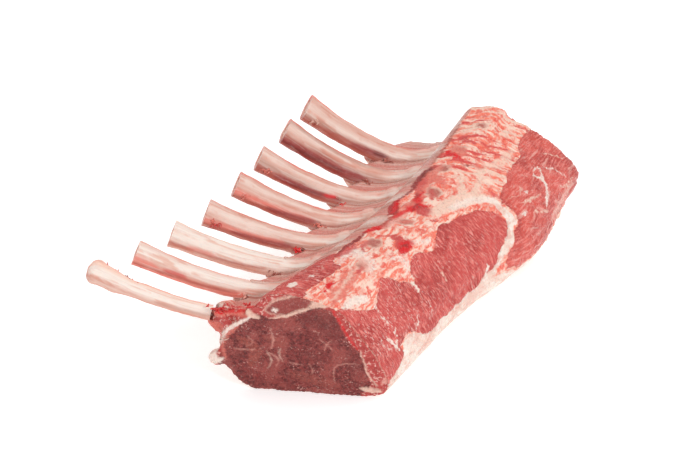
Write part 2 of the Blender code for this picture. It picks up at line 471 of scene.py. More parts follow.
def soft_edge(depth, width=1.2):
    """0 outside to 1 inside, over this many mm on both sides of the edge."""
    share = np.clip(depth / width * 0.5 + 0.5, 0, 1)
    return share * share * (3 - 2 * share)


def on_label(outline):
    """An outline in (mm, degrees) on the label, in mm both ways."""
    return [(station, angle * ARC) for station, angle in outline]


# %% Measure the skin
points = points_of(flesh.data)
normals = np.array([v.normal for v in flesh.data.vertices])
station, angle, section_x, section_z = unroll(points)
label = np.column_stack((station, angle * ARC))
coarse = points / MM
fray = np.column_stack(
    (
        1.6 * ripple(coarse, 7, 1) + 0.6 * ripple(coarse, 2, 2),
        1.6 * ripple(coarse, 7, 3) + 0.6 * ripple(coarse, 2, 4),
    )
)
frayed = label + fray
end_normal = Vector((SLANT, -1, 0)).normalized()
facing = normals @ np.array(end_normal)
near_cut = (station < 3) & (facing > 0.6)
far_cut = (station > LENGTH - 3) & (facing < -0.6)
print("points on the near cut:", int(near_cut.sum()), "and on the far cut:", int(far_cut.sum()))

# %% [markdown]
# ## The muscles and the fat
# The flank shows the loin muscle, whose upper edge is torn into lobes by the knife. Behind it a
# white seam curves down, and past the seam the shoulder's cap muscle begins. A second muscle lies on
# the left of the ridge at the loin end. Fat covers the foot of the flank and all of the underside.

# %% Outlines on the label: (station in mm, angle in degrees)
LOIN_MUSCLE = (
    (-4, 60), (4, 59), (11, 48), (17, 38), (21, 40), (27, 49), (32, 55), (39, 44), (46, 28),
    (50, 42), (55, 51), (61, 46), (69, 39), (75, 48), (81, 53), (88, 48), (95, 45), (106, 36),
    (111, 22), (109, 12), (99, 1), (90, -8), (74, -16), (56, -19), (36, -20), (31, -12), (25, -6),
    (19, -9), (15, -21), (-4, -26),
)  # fmt: skip
CAP_MUSCLE = (
    (120, 30), (131, 36), (142, 43), (158, 44), (163, 52), (172, 56), (188, 50), (188, -14),
    (150, -16), (106, -18), (99, -9), (108, 2), (117, 14),
)  # fmt: skip
RIDGE_MUSCLE = (
    (-4, 122), (16, 122), (34, 113), (42, 106), (33, 97), (30, 91), (22, 90), (12, 92), (6, 95), (-4, 93),
)  # fmt: skip
SEAM = ((115, 40), (116, 32), (114.5, 22), (112, 13), (104, 3), (96, -4), (89, -11), (82, -15))
SEAM_WIDTH = (2.3, 1.5)  # half, at its top and at its foot, mm
FAT_FOOT = (
    (0, -27), (10, -25), (16, -20), (20, -11), (26, -8), (31, -14), (36, -20), (56, -19), (75, -15),
    (88, -13), (100, -20), (140, -23), (184, -25),
)  # fmt: skip
PLEURA_EDGE = (
    (0, 128), (20, 124), (34, 113), (40, 108), (61, 102), (66, 101), (70, 97), (76, 94), (84, 97),
    (91, 105), (96, 105), (104, 98), (110, 99), (116, 101), (125, 102), (140, 105), (160, 107), (184, 109),
)  # fmt: skip


def band_depth(spots, points, widths):
    """How deep spots lie in a band along a curve, whose half width changes from end to end."""
    away, along = distance_to(spots, smooth_curve(on_label(points), closed=False), closed=False)
    return widths[0] + (widths[1] - widths[0]) * along - away


def height_of(border, spots):
    stations, angles = np.array(border).T
    return np.interp(spots[:, 0], stations, angles) * ARC


loin_depth = depth_in(frayed, on_label(LOIN_MUSCLE))
cap_depth = depth_in(frayed, on_label(CAP_MUSCLE))
ridge_depth = depth_in(frayed, on_label(RIDGE_MUSCLE))
lean_depth = np.maximum(np.maximum(loin_depth, cap_depth), ridge_depth)
seam_depth = band_depth(frayed, SEAM, SEAM_WIDTH) + 0.9 * ripple(coarse, 4, 22)
fat_depth = np.maximum(height_of(FAT_FOOT, frayed) - frayed[:, 1], seam_depth)
under_wall = (angle > 172) | (angle < -60)
fat_depth = np.where(under_wall, 3.0, fat_depth)
pleura_depth = np.minimum(frayed[:, 1] - height_of(PLEURA_EDGE, frayed), 172 * ARC - label[:, 1])
off_cut = ~(near_cut | far_cut)
lean_mask = soft_edge(lean_depth, 1.0) * off_cut
fat_mask = soft_edge(fat_depth, 1.0) * off_cut
pleura_mask = soft_edge(pleura_depth, 0.8) * off_cut
cap_mask = soft_edge(cap_depth, 3.0) * off_cut
print("lean covers", round(float(lean_mask.mean()) * 100), "% of the points")

# %% [markdown]
# ## Strokes of paint
# Blood, sawn bone, torn fat and stray fibres are drawn as strokes, and so is painted shade along the
# ribs' near sides and in the hollow at the first rib's root: a colour, a half width and the points of a
# curve. Each stroke is laid over the ones before it, like paint, in one colour attribute whose alpha says how much of
# the skin it hides.

# %% Stroke painter
PAINTS = {
    "white": (0.93, 0.76, 0.67),
    "cream": (0.90, 0.60, 0.48),
    "pink": (0.86, 0.42, 0.34),
    "orange": (0.78, 0.20, 0.15),
    "red": (0.62, 0.085, 0.075),
    "brown": (0.42, 0.10, 0.07),
    "dark": (0.30, 0.035, 0.03),
    "pitch": (0.07, 0.008, 0.005),
    "blood": (0.72, 0.008, 0.012),
    "bone": (0.48, 0.13, 0.10),
    "mauve": (0.70, 0.27, 0.22),
    "cut": (0.25, 0.038, 0.034),
    "wine": (0.17, 0.022, 0.02),
    "ivory": (0.88, 0.76, 0.68),
    "shell": (0.82, 0.62, 0.54),
    "beige": (0.70, 0.40, 0.32),
    "taupe": (0.52, 0.29, 0.23),
}


def paint_strokes(spots, strokes, softness, blur):
    """Lays strokes over each other. Returns a colour and a cover from 0 to 1 for each spot."""
    colour = np.ones((len(spots), 3)) * PAINTS["cream"]
    cover = np.zeros(len(spots))
    for name, half_width, strength, curve in strokes:
        if len(curve) == 1:
            away = np.hypot(*(spots - np.array(curve[0])).T)
        else:
            away, along = distance_to(spots, smooth_curve(curve, closed=False), closed=False)
            away = away + half_width * 0.5 * np.abs(along * 2 - 1) ** 3
        mask = soft_edge(half_width - away, softness + blur * half_width) * strength
        total = mask + cover * (1 - mask)
        share = mask / np.maximum(total, 1e-6)
        colour = colour + (np.array(PAINTS[name]) - colour) * share[:, None]
        cover = total
    return colour, cover


# %% Strokes on the label: colour, half width in mm, strength, then (station, angle) points
LABEL_STROKES = (
    ("white", 3.0, 0.75, ((5, 60), (12, 58), (18, 50))),
    ("white", 3.5, 0.6, ((32, 66), (40, 78), (46, 92))),
    ("white", 2.0, 0.6, ((32, 92), (40, 96), (48, 94))),
    ("white", 2.5, 0.6, ((46, 62), (50, 52), (47, 40))),
    ("white", 2.5, 0.5, ((62, 60), (70, 48))),
    ("cream", 5.0, 0.85, ((88, 64), (98, 60), (108, 52), (114, 44))),
    ("white", 2.2, 0.8, ((96, 56), (106, 50), (113, 42), (117, 34))),
    ("cream", 2.0, 0.8, ((112, 50), (122, 54), (132, 62))),
    ("cream", 1.6, 0.75, ((108, 58), (116, 64), (124, 72))),
    ("cream", 3.0, 0.6, ((138, 58), (148, 53), (158, 54))),
    ("orange", 1.6, 0.75, ((2, 70), (10, 71), (22, 75), (32, 81))),
    ("orange", 1.2, 0.7, ((4, 76), (14, 77), (28, 84))),
    ("orange", 1.0, 0.6, ((8, 66), (20, 70), (33, 75))),
    ("cream", 0.7, 0.8, ((5, 73), (16, 75), (30, 79))),
    ("pink", 2.0, 0.7, ((32, 70), (38, 78), (40, 84))),
    ("dark", 1.3, 0.85, ((36, 106), (44, 103), (52, 102), (60, 101))),
    ("red", 2.2, 0.75, ((38, 104), (44, 99), (52, 97))),
    ("brown", 1.6, 0.8, ((66, 99), (72, 94), (78, 92), (84, 93))),
    ("red", 2.0, 0.6, ((68, 95), (74, 90), (84, 90))),
    ("pink", 2.5, 0.7, ((70, 88), (80, 86), (88, 88))),
    ("orange", 3.4, 0.85, ((90, 91), (96, 87), (99, 84))),
    ("dark", 2.6, 0.9, ((84, 96), (88, 99), (94, 104))),
    ("blood", 2.2, 0.95, ((84, 98), (90, 101), (97, 104))),
    ("blood", 2.6, 0.9, ((66, 101), (68, 98), (70, 96))),
    ("blood", 3.0, 0.95, ((87, 86), (91, 82), (93, 76))),
    ("blood", 2.0, 0.85, ((80, 90), (86, 89))),
    ("dark", 1.2, 0.9, ((92, 80), (90, 76))),
    ("red", 3.2, 0.85, ((90, 76), (86, 69))),
    ("blood", 2.0, 0.9, ((95, 85), (99, 88), (106, 91))),
    ("dark", 2.6, 0.95, ((108, 97), (116, 101), (127, 101))),
    ("blood", 1.6, 0.85, ((106, 95), (113, 97), (120, 98))),
    ("pitch", 1.0, 0.7, ((115, 100.5), (125, 101))),
    ("orange", 3.6, 0.85, ((104, 92), (114, 93), (126, 95))),
    ("red", 1.6, 0.7, ((104, 94), (110, 95), (118, 97))),
    ("orange", 2.2, 0.6, ((112, 76), (116, 84), (120, 90))),
    ("blood", 1.8, 0.9, ((143, 101), (139, 94), (136, 84))),
    ("orange", 2.6, 0.7, ((146, 98), (142, 90), (140, 82))),
    ("red", 1.0, 0.6, ((136, 85), (132, 76))),
    ("dark", 1.0, 0.9, ((132.5, 76), (133.5, 73))),
    ("orange", 2.0, 0.7, ((134, 72), (135, 62))),
    ("red", 4.2, 0.75, ((54, 60), (59, 64), (62, 70))),
    ("blood", 3.0, 0.95, ((54, 60), (59, 62), (61, 66))),
    ("dark", 0.8, 0.7, ((57, 59), (59, 63))),
    ("red", 1.3, 0.8, ((61, 66), (62, 74), (64, 79))),
    ("blood", 1.3, 0.95, ((11, 82), (15, 84.5), (16.5, 82.5))),
    ("blood", 0.7, 0.9, ((8, 84), (9, 81))),
    ("orange", 0.8, 0.8, ((10, 79), (13, 80))),
    ("red", 1.1, 0.8, ((82, 62), (83, 58))),
    ("orange", 1.8, 0.6, ((78, 74), (76, 84))),
    ("white", 1.4, 0.9, ((7, 106), (10.5, 106.5))),
    ("white", 0.7, 0.9, ((17, 101), (18.5, 102))),
    ("cream", 0.6, 0.9, ((3, 113), (4, 114))),
    ("cream", 0.8, 0.5, ((24, 98), (30, 103))),
    ("white", 0.9, 0.85, ((12.5, 6), (14, -4), (16.5, -14))),
    ("white", 0.6, 0.8, ((20.5, 6), (17.5, -3), (16, -10))),
    ("white", 0.6, 0.7, ((9, 8), (8.5, 0), (11, -8))),
    ("white", 0.7, 0.7, ((36, 1), (33.5, -6), (31, -13))),
    ("white", 0.4, 0.7, ((46.5, 3), (45, -6), (43.5, -13))),
    ("white", 1.0, 0.8, ((46, 32), (46, 22), (45.5, 14))),
    ("white", 0.6, 0.7, ((19, 40), (18.5, 28), (18.5, 10))),
    ("white", 0.8, 0.85, ((87.5, -3), (86, -8), (84.5, -14))),
    ("cream", 0.5, 0.7, ((64.5, 18), (63, 6))),
    ("white", 0.9, 0.85, ((151, 25), (153, 17), (152, 11), (144, 6), (138, 3))),
    ("white", 0.6, 0.8, ((152, 25), (157, 26), (160, 23), (156, 18), (153, 15))),
    ("white", 0.6, 0.75, ((163, 21), (168, 12), (171, 2))),
    ("white", 0.9, 0.7, ((134, 20), (137, 20.5))),
    ("white", 0.9, 0.7, ((121, 11), (124.5, 11.5))),
    ("cream", 0.5, 0.6, ((133, 2), (135, -6))),
    ("cream", 0.5, 0.6, ((145, 32), (147, 27))),
    ("red", 5.0, 0.9, ((3, 130), (4, 140), (4, 152), (5, 166))),
    ("orange", 1.6, 0.9, ((8, 130), (9, 142), (9, 154))),
    ("blood", 1.6, 0.95, ((2, 130), (3, 140), (2, 152))),
    ("blood", 1.8, 0.95, ((6, 134), (5.5, 146), (7, 158))),
    ("cream", 0.7, 0.85, ((4, 130), (3.8, 140), (4, 150))),
    ("cream", 0.6, 0.8, ((10.5, 132), (11, 146))),
    ("dark", 0.8, 0.8, ((1, 138), (1.5, 150))),
    ("orange", 3.4, 0.85, ((2, 166), (6, 172), (12, 178))),
    ("taupe", 2.6, 0.85, ((10, 168), (15, 172))),
    # The two near-black strokes below are painted shade in the hollow where rib 1 goes into the meat.
    ("pitch", 1.5, 0.95, ((1, 157), (3, 160), (6, 163))),
    ("pitch", 1.2, 0.9, ((6, 160), (10, 163))),
    ("blood", 1.0, 0.9, ((3, 172), (5, 178), (3, 184))),
    ("white", 4.2, 1.0, ((1.5, 189), (1.5, 196))),
    ("red", 1.6, 0.7, ((20, 116), (36, 109), (44, 105))),
    ("dark", 1.0, 0.75, ((44, 104), (66, 101))),
    ("dark", 1.2, 0.7, ((96, 104), (108, 99))),
    ("brown", 0.9, 0.7, ((128, 102), (150, 106), (168, 108))),
    ("dark", 0.9, 0.85, ((82, 99), (88, 102), (95, 106))),
    ("dark", 0.7, 0.8, ((87, 80), (91, 84), (94, 82))),
    ("dark", 0.7, 0.8, ((56, 64), (60, 61))),
    ("dark", 0.8, 0.7, ((98, 88), (104, 92))),
    ("red", 1.2, 0.7, ((46, 86), (50, 90), (56, 92))),
    ("red", 1.0, 0.7, ((28, 74), (34, 76))),
    ("red", 1.4, 0.7, ((98, 74), (102, 78), (106, 84))),
    ("red", 1.2, 0.7, ((150, 84), (152, 92), (156, 98))),
    ("cream", 0.8, 0.7, ((126, 18), (134, 14), (143, 12))),
    ("cream", 0.6, 0.7, ((128, 8), (134, 3), (140, -2))),
    ("cream", 0.6, 0.7, ((160, 3), (168, -3), (176, -2))),
    ("cream", 0.6, 0.7, ((172, 30), (176, 22), (179, 14))),
    ("cream", 0.6, 0.6, ((122, 27), (130, 24), (138, 26))),
    ("pink", 3.0, 0.6, ((140, -8), (156, -9), (176, -8))),
)
SAWN_BONES = ((35, 77), (55, 85), (77, 78), (105, 80), (126, 89), (144, 92), (166, 91))
BONE_SIZES = (3.0, 4.6, 3.6, 4.4, 3.6, 3.2, 2.6)  # half lengths, mm

bone_strokes = []
for (at, turn), half in zip(SAWN_BONES, BONE_SIZES):
    ends = ((at - 0.35 * half, turn - 0.9 * half), (at + 0.35 * half, turn + 0.9 * half))
    bone_strokes.append(("cream", half * 1.05, 0.8, ends))
    bone_strokes.append(("bone", half * 0.66, 0.95, ends))
strokes = [
    (name, half_width, strength, on_label(curve))
    for name, half_width, strength, curve in (*LABEL_STROKES[:7], *bone_strokes, *LABEL_STROKES[7:])
]
torn = label + 0.45 * (frayed - label) + np.column_stack((1.1 * ripple(coarse, 1.8, 5), 1.1 * ripple(coarse, 1.8, 6)))
tint, cover = paint_strokes(torn, strokes, 0.6, 0.3)
print("strokes on the outside:", len(strokes))

# %% Folds of pink, cream and red across the shoulder end of the crest
fold_spots = np.column_stack((station + label[:, 1] * 0.25, label[:, 1] / 7, np.zeros(len(points))))
folds = ripple(fold_spots, 3.4, 21, 2)
crest = np.clip(1 - lean_mask - fat_mask - pleura_mask, 0, 1) * off_cut
folded = ease(station, 106, 128) * crest * (1 - cover)
fold_colour = np.where(folds[:, None] > 0, PAINTS["cream"], np.array(PAINTS["red"]) * 1.15)
fold_cover = folded * ease(np.abs(folds), 0.12, 0.45) * 0.8
tint = tint + (fold_colour - tint) * (fold_cover / np.maximum(fold_cover + cover, 1e-6))[:, None]
cover = np.clip(cover + fold_cover, 0, 1)
print("folds cover", round(float(fold_cover.mean()) * 100, 1), "% of the skin")

# %% Ribs that show through the membrane, paler over each bone, partly its own tone and partly a painted highlight, with painted shade on its near side: mm from the rib's middle along the loin, and a paint
WALL_BANDS_HIGHLIGHT_SHADE = (
    (-11.5, "mauve"), (-9, "beige"), (-7, "brown"), (-5.5, "taupe"), (-2.5, "beige"), (0, "ivory"),
    (2.5, "shell"), (5.5, "beige"), (7, "orange"), (8.5, "mauve"), (11.5, "mauve"),
)  # fmt: skip

side_of_rib = (station - FIRST_RIB + RIB_PITCH / 2) % RIB_PITCH - RIB_PITCH / 2
band_at = side_of_rib + 0.9 * ripple(np.column_stack((station, label[:, 1] / 6, np.zeros(len(points)))), 4, 24)
band_offsets = [offset for offset, _ in WALL_BANDS_HIGHLIGHT_SHADE]
band_paints = np.array([PAINTS[name] for _, name in WALL_BANDS_HIGHLIGHT_SHADE])
membrane = np.column_stack([np.interp(band_at, band_offsets, channel) for channel in band_paints.T])
by_ridge = (1 - ease(pleura_depth, 1, 9))[:, None]
membrane += (np.array(PAINTS["mauve"]) * 0.8 - membrane) * by_ridge * 0.5
print("membrane colours from", membrane.min().round(2), "to", membrane.max().round(2))

# %% Strokes on the near cut face: (x, z) points in mm
EYE_OUTLINE = (
    (-17, 48), (-11, 46), (-5, 48.5), (-1, 51), (3, 54), (9, 56), (11, 54), (14, 53), (16, 48), (19, 40),
    (22, 34), (25, 30), (27, 26), (28, 20), (30, 13), (31, 8), (27, 2), (24, -3), (0, -4), (-18, -3),
    (-25, 2), (-30, 7), (-35, 13), (-34, 22), (-33, 30), (-30, 35), (-24, 42), (-20, 46),
)  # fmt: skip
FACE_STROKES = (
    ("orange", 3.0, 0.9, ((-39, 45), (-30, 47.5), (-21, 48))),
    ("blood", 1.2, 0.8, ((-38, 46), (-30, 47), (-23, 48.5))),
    ("orange", 3.0, 0.8, ((-38, 38), (-35, 33), (-37, 26))),
    ("cream", 1.6, 0.9, ((-22, 50), (-20, 47.5), (-17, 46))),
    ("white", 1.1, 0.95, ((-21, 46), (-24, 43), (-30, 38), (-34, 31), (-36, 26), (-36.5, 21), (-34, 16))),
    ("orange", 0.9, 0.75, ((-26, 39), (-31, 33), (-33, 26), (-32, 18))),
    ("cream", 3.4, 0.85, ((4, 57), (9, 58.5), (13, 57))),
    ("cream", 5.6, 0.9, ((-11.5, 51.5), (-4, 54.5), (3.5, 58))),
    ("dark", 4.4, 0.95, ((-11.5, 51.5), (-4, 54.5), (3.5, 58))),
    ("cut", 1.6, 0.5, ((-3, 54), (3, 57))),
    ("white", 1.9, 0.9, ((-10.5, 51.5), (-9.5, 51.8))),
    ("cream", 0.8, 0.8, ((-12, 46.5), (-5, 48.5), (2, 53), (8, 55))),
    ("blood", 0.55, 0.85, ((15, 53), (18.3, 45), (21.5, 38), (25, 31))),
    ("pitch", 0.5, 0.5, ((14.5, 51), (17.3, 44), (20.5, 37))),
    ("cream", 0.45, 0.85, ((26.5, 29), (28, 23), (29.5, 16), (32, 11), (34, 8))),
    ("cream", 1.7, 0.9, ((27, 6), (31, 5), (35, 5))),
    ("pink", 1.0, 0.6, ((36, 9), (38, 14))),
    ("pink", 0.35, 0.55, ((9, 35), (12, 32), (15, 29))),
    ("pink", 0.35, 0.5, ((14, 35), (12, 32), (11, 28))),
    ("pink", 0.35, 0.7, ((15.5, 8), (15, 14), (16, 19), (21, 21), (26, 21))),
    ("pink", 0.3, 0.5, ((4, 19), (6, 15), (5, 12))),
    ("cream", 0.6, 0.45, ((-8, 28), (-8.5, 24), (-7, 19))),
    ("pink", 0.4, 0.6, ((-4, 19), (1, 18))),
    ("pink", 0.5, 0.5, ((-22, 34), (-20, 30), (-23, 27))),
    ("wine", 5.0, 0.65, ((3, 45), (11, 47), (15, 38))),
    ("wine", 2.2, 0.45, ((4, 40), (7, 36))),
    ("wine", 3.0, 0.45, ((22, 27), (24, 20), (25, 12))),
    ("wine", 2.0, 0.4, ((-18, 44), (-10, 42))),
    ("dark", 2.5, 0.4, ((-24, 14), (-18, 9), (-10, 6))),
    ("brown", 2.6, 0.55, ((-26, 32), (-19, 26), (-21, 16))),
    ("brown", 2.2, 0.5, ((-14, 34), (-6, 30))),
    ("brown", 3.0, 0.4, ((-4, 12), (6, 9), (16, 6))),
    ("pitch", 2.4, 0.35, ((-27, 20), (-24, 24))),
    ("pitch", 2.0, 0.35, ((8, 49), (12, 43))),
    ("pitch", 1.6, 0.3, ((2, 26), (8, 23))),
    ("pink", 0.5, 0.6, ((-12, 40), (-11, 33), (-12, 27))),
    ("pink", 0.4, 0.6, ((-13, 24), (-9, 21), (-10, 16))),
    ("cream", 0.5, 0.6, ((-14, 25), (-12, 19), (-14, 14))),
    ("pink", 0.4, 0.5, ((-28, 26), (-24, 25), (-19, 26))),
    ("white", 4.2, 1.0, ((-37, 17), (-37, 20))),
)
FAR_EYE = ((-30, 14), (-31, 24), (-24, 33), (-14, 42), (-2, 47), (10, 44), (17, 34), (18, 22), (14, 12), (0, 7), (-16, 7))
FAR_STROKES = (
    ("pink", 1.4, 0.8, ((-16, 50), (-22, 41), (-32, 37.5), (-45, 37))),
    ("mauve", 2.4, 0.7, ((-34, 31), (-40, 33), (-45, 35))),
    ("cream", 1.0, 0.9, ((-33, 20), (-31, 28), (-22, 36), (-12, 45), (-1, 50), (12, 47), (20, 36), (21, 22), (16, 9))),
    ("cream", 0.7, 0.8, ((21, 30), (29, 33), (34, 36))),
    ("cream", 0.5, 0.7, ((20, 20), (30, 19), (39, 22))),
    ("cream", 0.5, 0.7, ((12, 48), (17, 51))),
    ("pink", 0.5, 0.7, ((-8, 36), (0, 33), (6, 26))),
    ("pink", 0.4, 0.6, ((-20, 25), (-12, 22), (-6, 14))),
    ("white", 6.0, 0.95, ((-6, 58), (1, 57.5))),
    ("bone", 4.0, 0.9, ((-6, 58), (1, 57.5))),
    ("white", 2.3, 1.0, ((-36, 17), (-33, 10), (-26, 4), (-14, 1), (4, 1), (22, 1), (32, 2.5), (39, 8), (44, 17))),
)

face_spots = np.column_stack((section_x, section_z))
face_torn = face_spots + np.column_stack((0.5 * ripple(coarse, 1.5, 7), 0.5 * ripple(coarse, 1.5, 8)))
strip = np.array(PAINTS["red"]) * 0.85
both_cuts = near_cut | far_cut
eye_mask = np.zeros(len(points))
face_cover = np.zeros(len(points))
for on_face, outline, face_strokes in ((near_cut, EYE_OUTLINE, FACE_STROKES), (far_cut, FAR_EYE, FAR_STROKES)):
    spots = face_torn[on_face]
    in_eye = soft_edge(depth_in(spots, outline), 0.6)
    face_tint, stroke_cover = paint_strokes(spots, face_strokes, 0.45, 0.1)
    face_base = strip + (np.array(PAINTS["cut"]) - strip) * in_eye[:, None]
    tint[on_face] = face_base + (face_tint - face_base) * stroke_cover[:, None]
    cover[on_face] = stroke_cover * 0.9
    eye_mask[on_face] = in_eye
    face_cover[on_face] = stroke_cover
print("strokes on the cuts:", len(FACE_STROKES) + len(FAR_STROKES))

# %% Lift and lower the skin
rib_gap = from_rib(station)
on_wall = pleura_mask * (section_x < -14)
beyond = ease(edge_x - section_x + ripple(coarse, 3, 9), -1.5, 2.5) * (section_x < -30) * (section_z > 30)
fibre_spots = np.column_stack((station, label[:, 1] / 6, np.zeros(len(points))))
cap_spots = np.column_stack((station / 6, label[:, 1], np.zeros(len(points))))
relief = 0.16 * ripple(fibre_spots, 1.3, 11, 3) * lean_mask * (1 - cap_mask)
relief += 0.16 * ripple(cap_spots, 1.3, 12, 3) * cap_mask
relief += (0.75 * ripple(coarse, 5, 13, 3) + 0.35 * ripple(coarse, 2.2, 14, 3)) * crest
relief += 0.9 * folds * folded
relief += 0.5 * soft_edge(lean_depth - 2, 4) * lean_mask
relief += 0.35 * ripple(coarse, 9, 15) * fat_mask + 0.2 * soft_edge(seam_depth, 2) * off_cut
relief += (0.25 * ripple(coarse, 1.4, 16, 3) + 0.3 * ripple(coarse, 6, 17)) * both_cuts
relief += 0.5 * face_cover * (tint[:, 2] > 0.3)
relief += 0.3 * ripple(coarse, 5, 18) * under_wall
relief += on_wall * (0.1 - 1.7 * np.exp(-((rib_gap / 5.2) ** 2)) + 0.08 * ripple(fibre_spots, 2.2, 19))
at_edge = ease(edge_x - section_x, -5, 0) * (section_x < -28) * (section_z > 26)
relief -= (1.5 * at_edge + 0.5 * beyond) * ease(station, 8, 14)
relief *= 1 - ease(tucked, 0, 0.4)
normals = np.array([v.normal for v in flesh.data.vertices])
points = points + normals * (relief * MM)[:, None]
points[:, 2] = np.maximum(points[:, 2], 0.0)
flesh.data.vertices.foreach_set("co", points.ravel())
flesh.data.update()
print("relief from", round(relief.min(), 2), "to", round(relief.max(), 2), "mm")


# %% Store the masks on the skin
def store_colour(mesh, name, red, green, blue, alpha=1.0):
    attribute = mesh.attributes.new(name, "FLOAT_COLOR", "POINT")
    rgba = np.column_stack((red, green, blue, np.broadcast_to(alpha, len(red)))).astype(np.float32)
    attribute.data.foreach_set("color", rgba.ravel())


def store_vector(mesh, name, vectors):
    attribute = mesh.attributes.new(name, "FLOAT_VECTOR", "POINT")
    attribute.data.foreach_set("vector", vectors.astype(np.float32).ravel())


store_colour(flesh.data, "tissue", lean_mask, fat_mask, pleura_mask)
store_colour(flesh.data, "marks", cap_mask, both_cuts.astype(float), eye_mask)
store_colour(flesh.data, "membrane", *membrane.T)
store_colour(flesh.data, "paint", *tint.T, cover)
store_vector(flesh.data, "label", np.column_stack((label * MM, np.zeros(len(label)))))

# %% [markdown]
# ## Shader groups
# Patterns that more than one finish needs are built once, as node groups.

# %% Node helpers
def add_node(tree, kind, inputs=None, **settings):
    made = tree.nodes.new(kind)
    for key, value in settings.items():
        setattr(made, key, value)
    for key, value in (inputs or {}).items():
        socket = made.inputs[key]
        if isinstance(value, bpy.types.NodeSocket):
            tree.links.new(value, socket)
        else:
            socket.default_value = value
    return made


def new_group(name, kind, inputs, outputs):
    """A node group with (socket type, name, default) inputs and (socket type, name) outputs."""
    tree = bpy.data.node_groups.new(name, kind)
    for socket_type, label_text, default in inputs:
        socket = tree.interface.new_socket(label_text, in_out="INPUT", socket_type=socket_type)
        if default is not None:
            socket.default_value = default
    for socket_type, label_text in outputs:
        tree.interface.new_socket(label_text, in_out="OUTPUT", socket_type=socket_type)
    return tree, tree.nodes.new("NodeGroupInput").outputs, tree.nodes.new("NodeGroupOutput").inputs


def use_group(tree, group, inputs):
    made = tree.nodes.new("ShaderNodeGroup")
    made.node_tree = group
    for key, value in inputs.items():
        if isinstance(value, bpy.types.NodeSocket):
            tree.links.new(value, made.inputs[key])
        else:
            made.inputs[key].default_value = value
    return made.outputs


def maths(tree, operation, *values):
    made = tree.nodes.new("ShaderNodeMath")
    made.operation = operation
    for socket, value in zip(made.inputs, values):
        if isinstance(value, bpy.types.NodeSocket):
            tree.links.new(value, socket)
        else:
            socket.default_value = value
    return made.outputs[0]


def ramp(tree, value, low, high, to_low=0.0, to_high=1.0):
    made = add_node(
        tree,
        "ShaderNodeMapRange",
        {"Value": value, "From Min": low, "From Max": high, "To Min": to_low, "To Max": to_high},
        interpolation_type="SMOOTHSTEP",
    )
    return made.outputs["Result"]


MIX_FACTOR, MIX_A, MIX_B, MIX_RESULT = 0, 6, 7, 2  # a Mix node's colour sockets


def blend(tree, factor, low, high):
    made = tree.nodes.new("ShaderNodeMix")
    made.data_type = "RGBA"
    for index, value in ((MIX_FACTOR, factor), (MIX_A, low), (MIX_B, high)):
        if isinstance(value, bpy.types.NodeSocket):
            tree.links.new(value, made.inputs[index])
        elif index == MIX_FACTOR:
            made.inputs[index].default_value = value
        else:
            made.inputs[index].default_value = (*value, 1)
    return made.outputs[MIX_RESULT]


FLOAT, VECTOR, COLOUR = "NodeSocketFloat", "NodeSocketVector", "NodeSocketColor"

# %% Group: strands (long, thin noise that runs one way)
strands, given, result = new_group(
    "strands",
    "ShaderNodeTree",
    [
        (VECTOR, "Vector", None),
        (VECTOR, "Stretch", (900, 90, 900)),
        (FLOAT, "Bend", 0.0008),
        (FLOAT, "Low", 0.35),
        (FLOAT, "High", 0.65),
    ],
    [(FLOAT, "Mask"), (FLOAT, "Height")],
)
bend_noise = add_node(strands, "ShaderNodeTexNoise", {"Vector": given["Vector"], "Scale": 120.0, "Detail": 1.0})
centred = add_node(
    strands, "ShaderNodeVectorMath", {0: bend_noise.outputs["Color"], 1: (0.5, 0.5, 0.5)}, operation="SUBTRACT"
)
bent = add_node(strands, "ShaderNodeVectorMath", {0: centred.outputs[0]}, operation="SCALE")
strands.links.new(given["Bend"], bent.inputs["Scale"])
moved = add_node(strands, "ShaderNodeVectorMath", {0: given["Vector"], 1: bent.outputs[0]}, operation="ADD")
drawn = add_node(strands, "ShaderNodeVectorMath", {0: moved.outputs[0], 1: given["Stretch"]}, operation="MULTIPLY")
strand_noise = add_node(
    strands, "ShaderNodeTexNoise", {"Vector": drawn.outputs[0], "Scale": 1.0, "Detail": 4.0, "Roughness": 0.6}
)
strands.links.new(ramp(strands, strand_noise.outputs["Fac"], given["Low"], given["High"]), result["Mask"])
strands.links.new(strand_noise.outputs["Fac"], result["Height"])

# %% Group: mottle (soft patches in two sizes)
mottle, given, result = new_group(
    "mottle",
    "ShaderNodeTree",
    [(VECTOR, "Vector", None), (FLOAT, "Scale", 200.0), (FLOAT, "Low", 0.35), (FLOAT, "High", 0.65)],
    [(FLOAT, "Mask"), (FLOAT, "Height")],
)
patches = add_node(
    mottle,
    "ShaderNodeTexNoise",
    {"Vector": given["Vector"], "Scale": given["Scale"], "Detail": 4.0, "Roughness": 0.6, "Distortion": 0.4},
)
mottle.links.new(ramp(mottle, patches.outputs["Fac"], given["Low"], given["High"]), result["Mask"])
mottle.links.new(patches.outputs["Fac"], result["Height"])

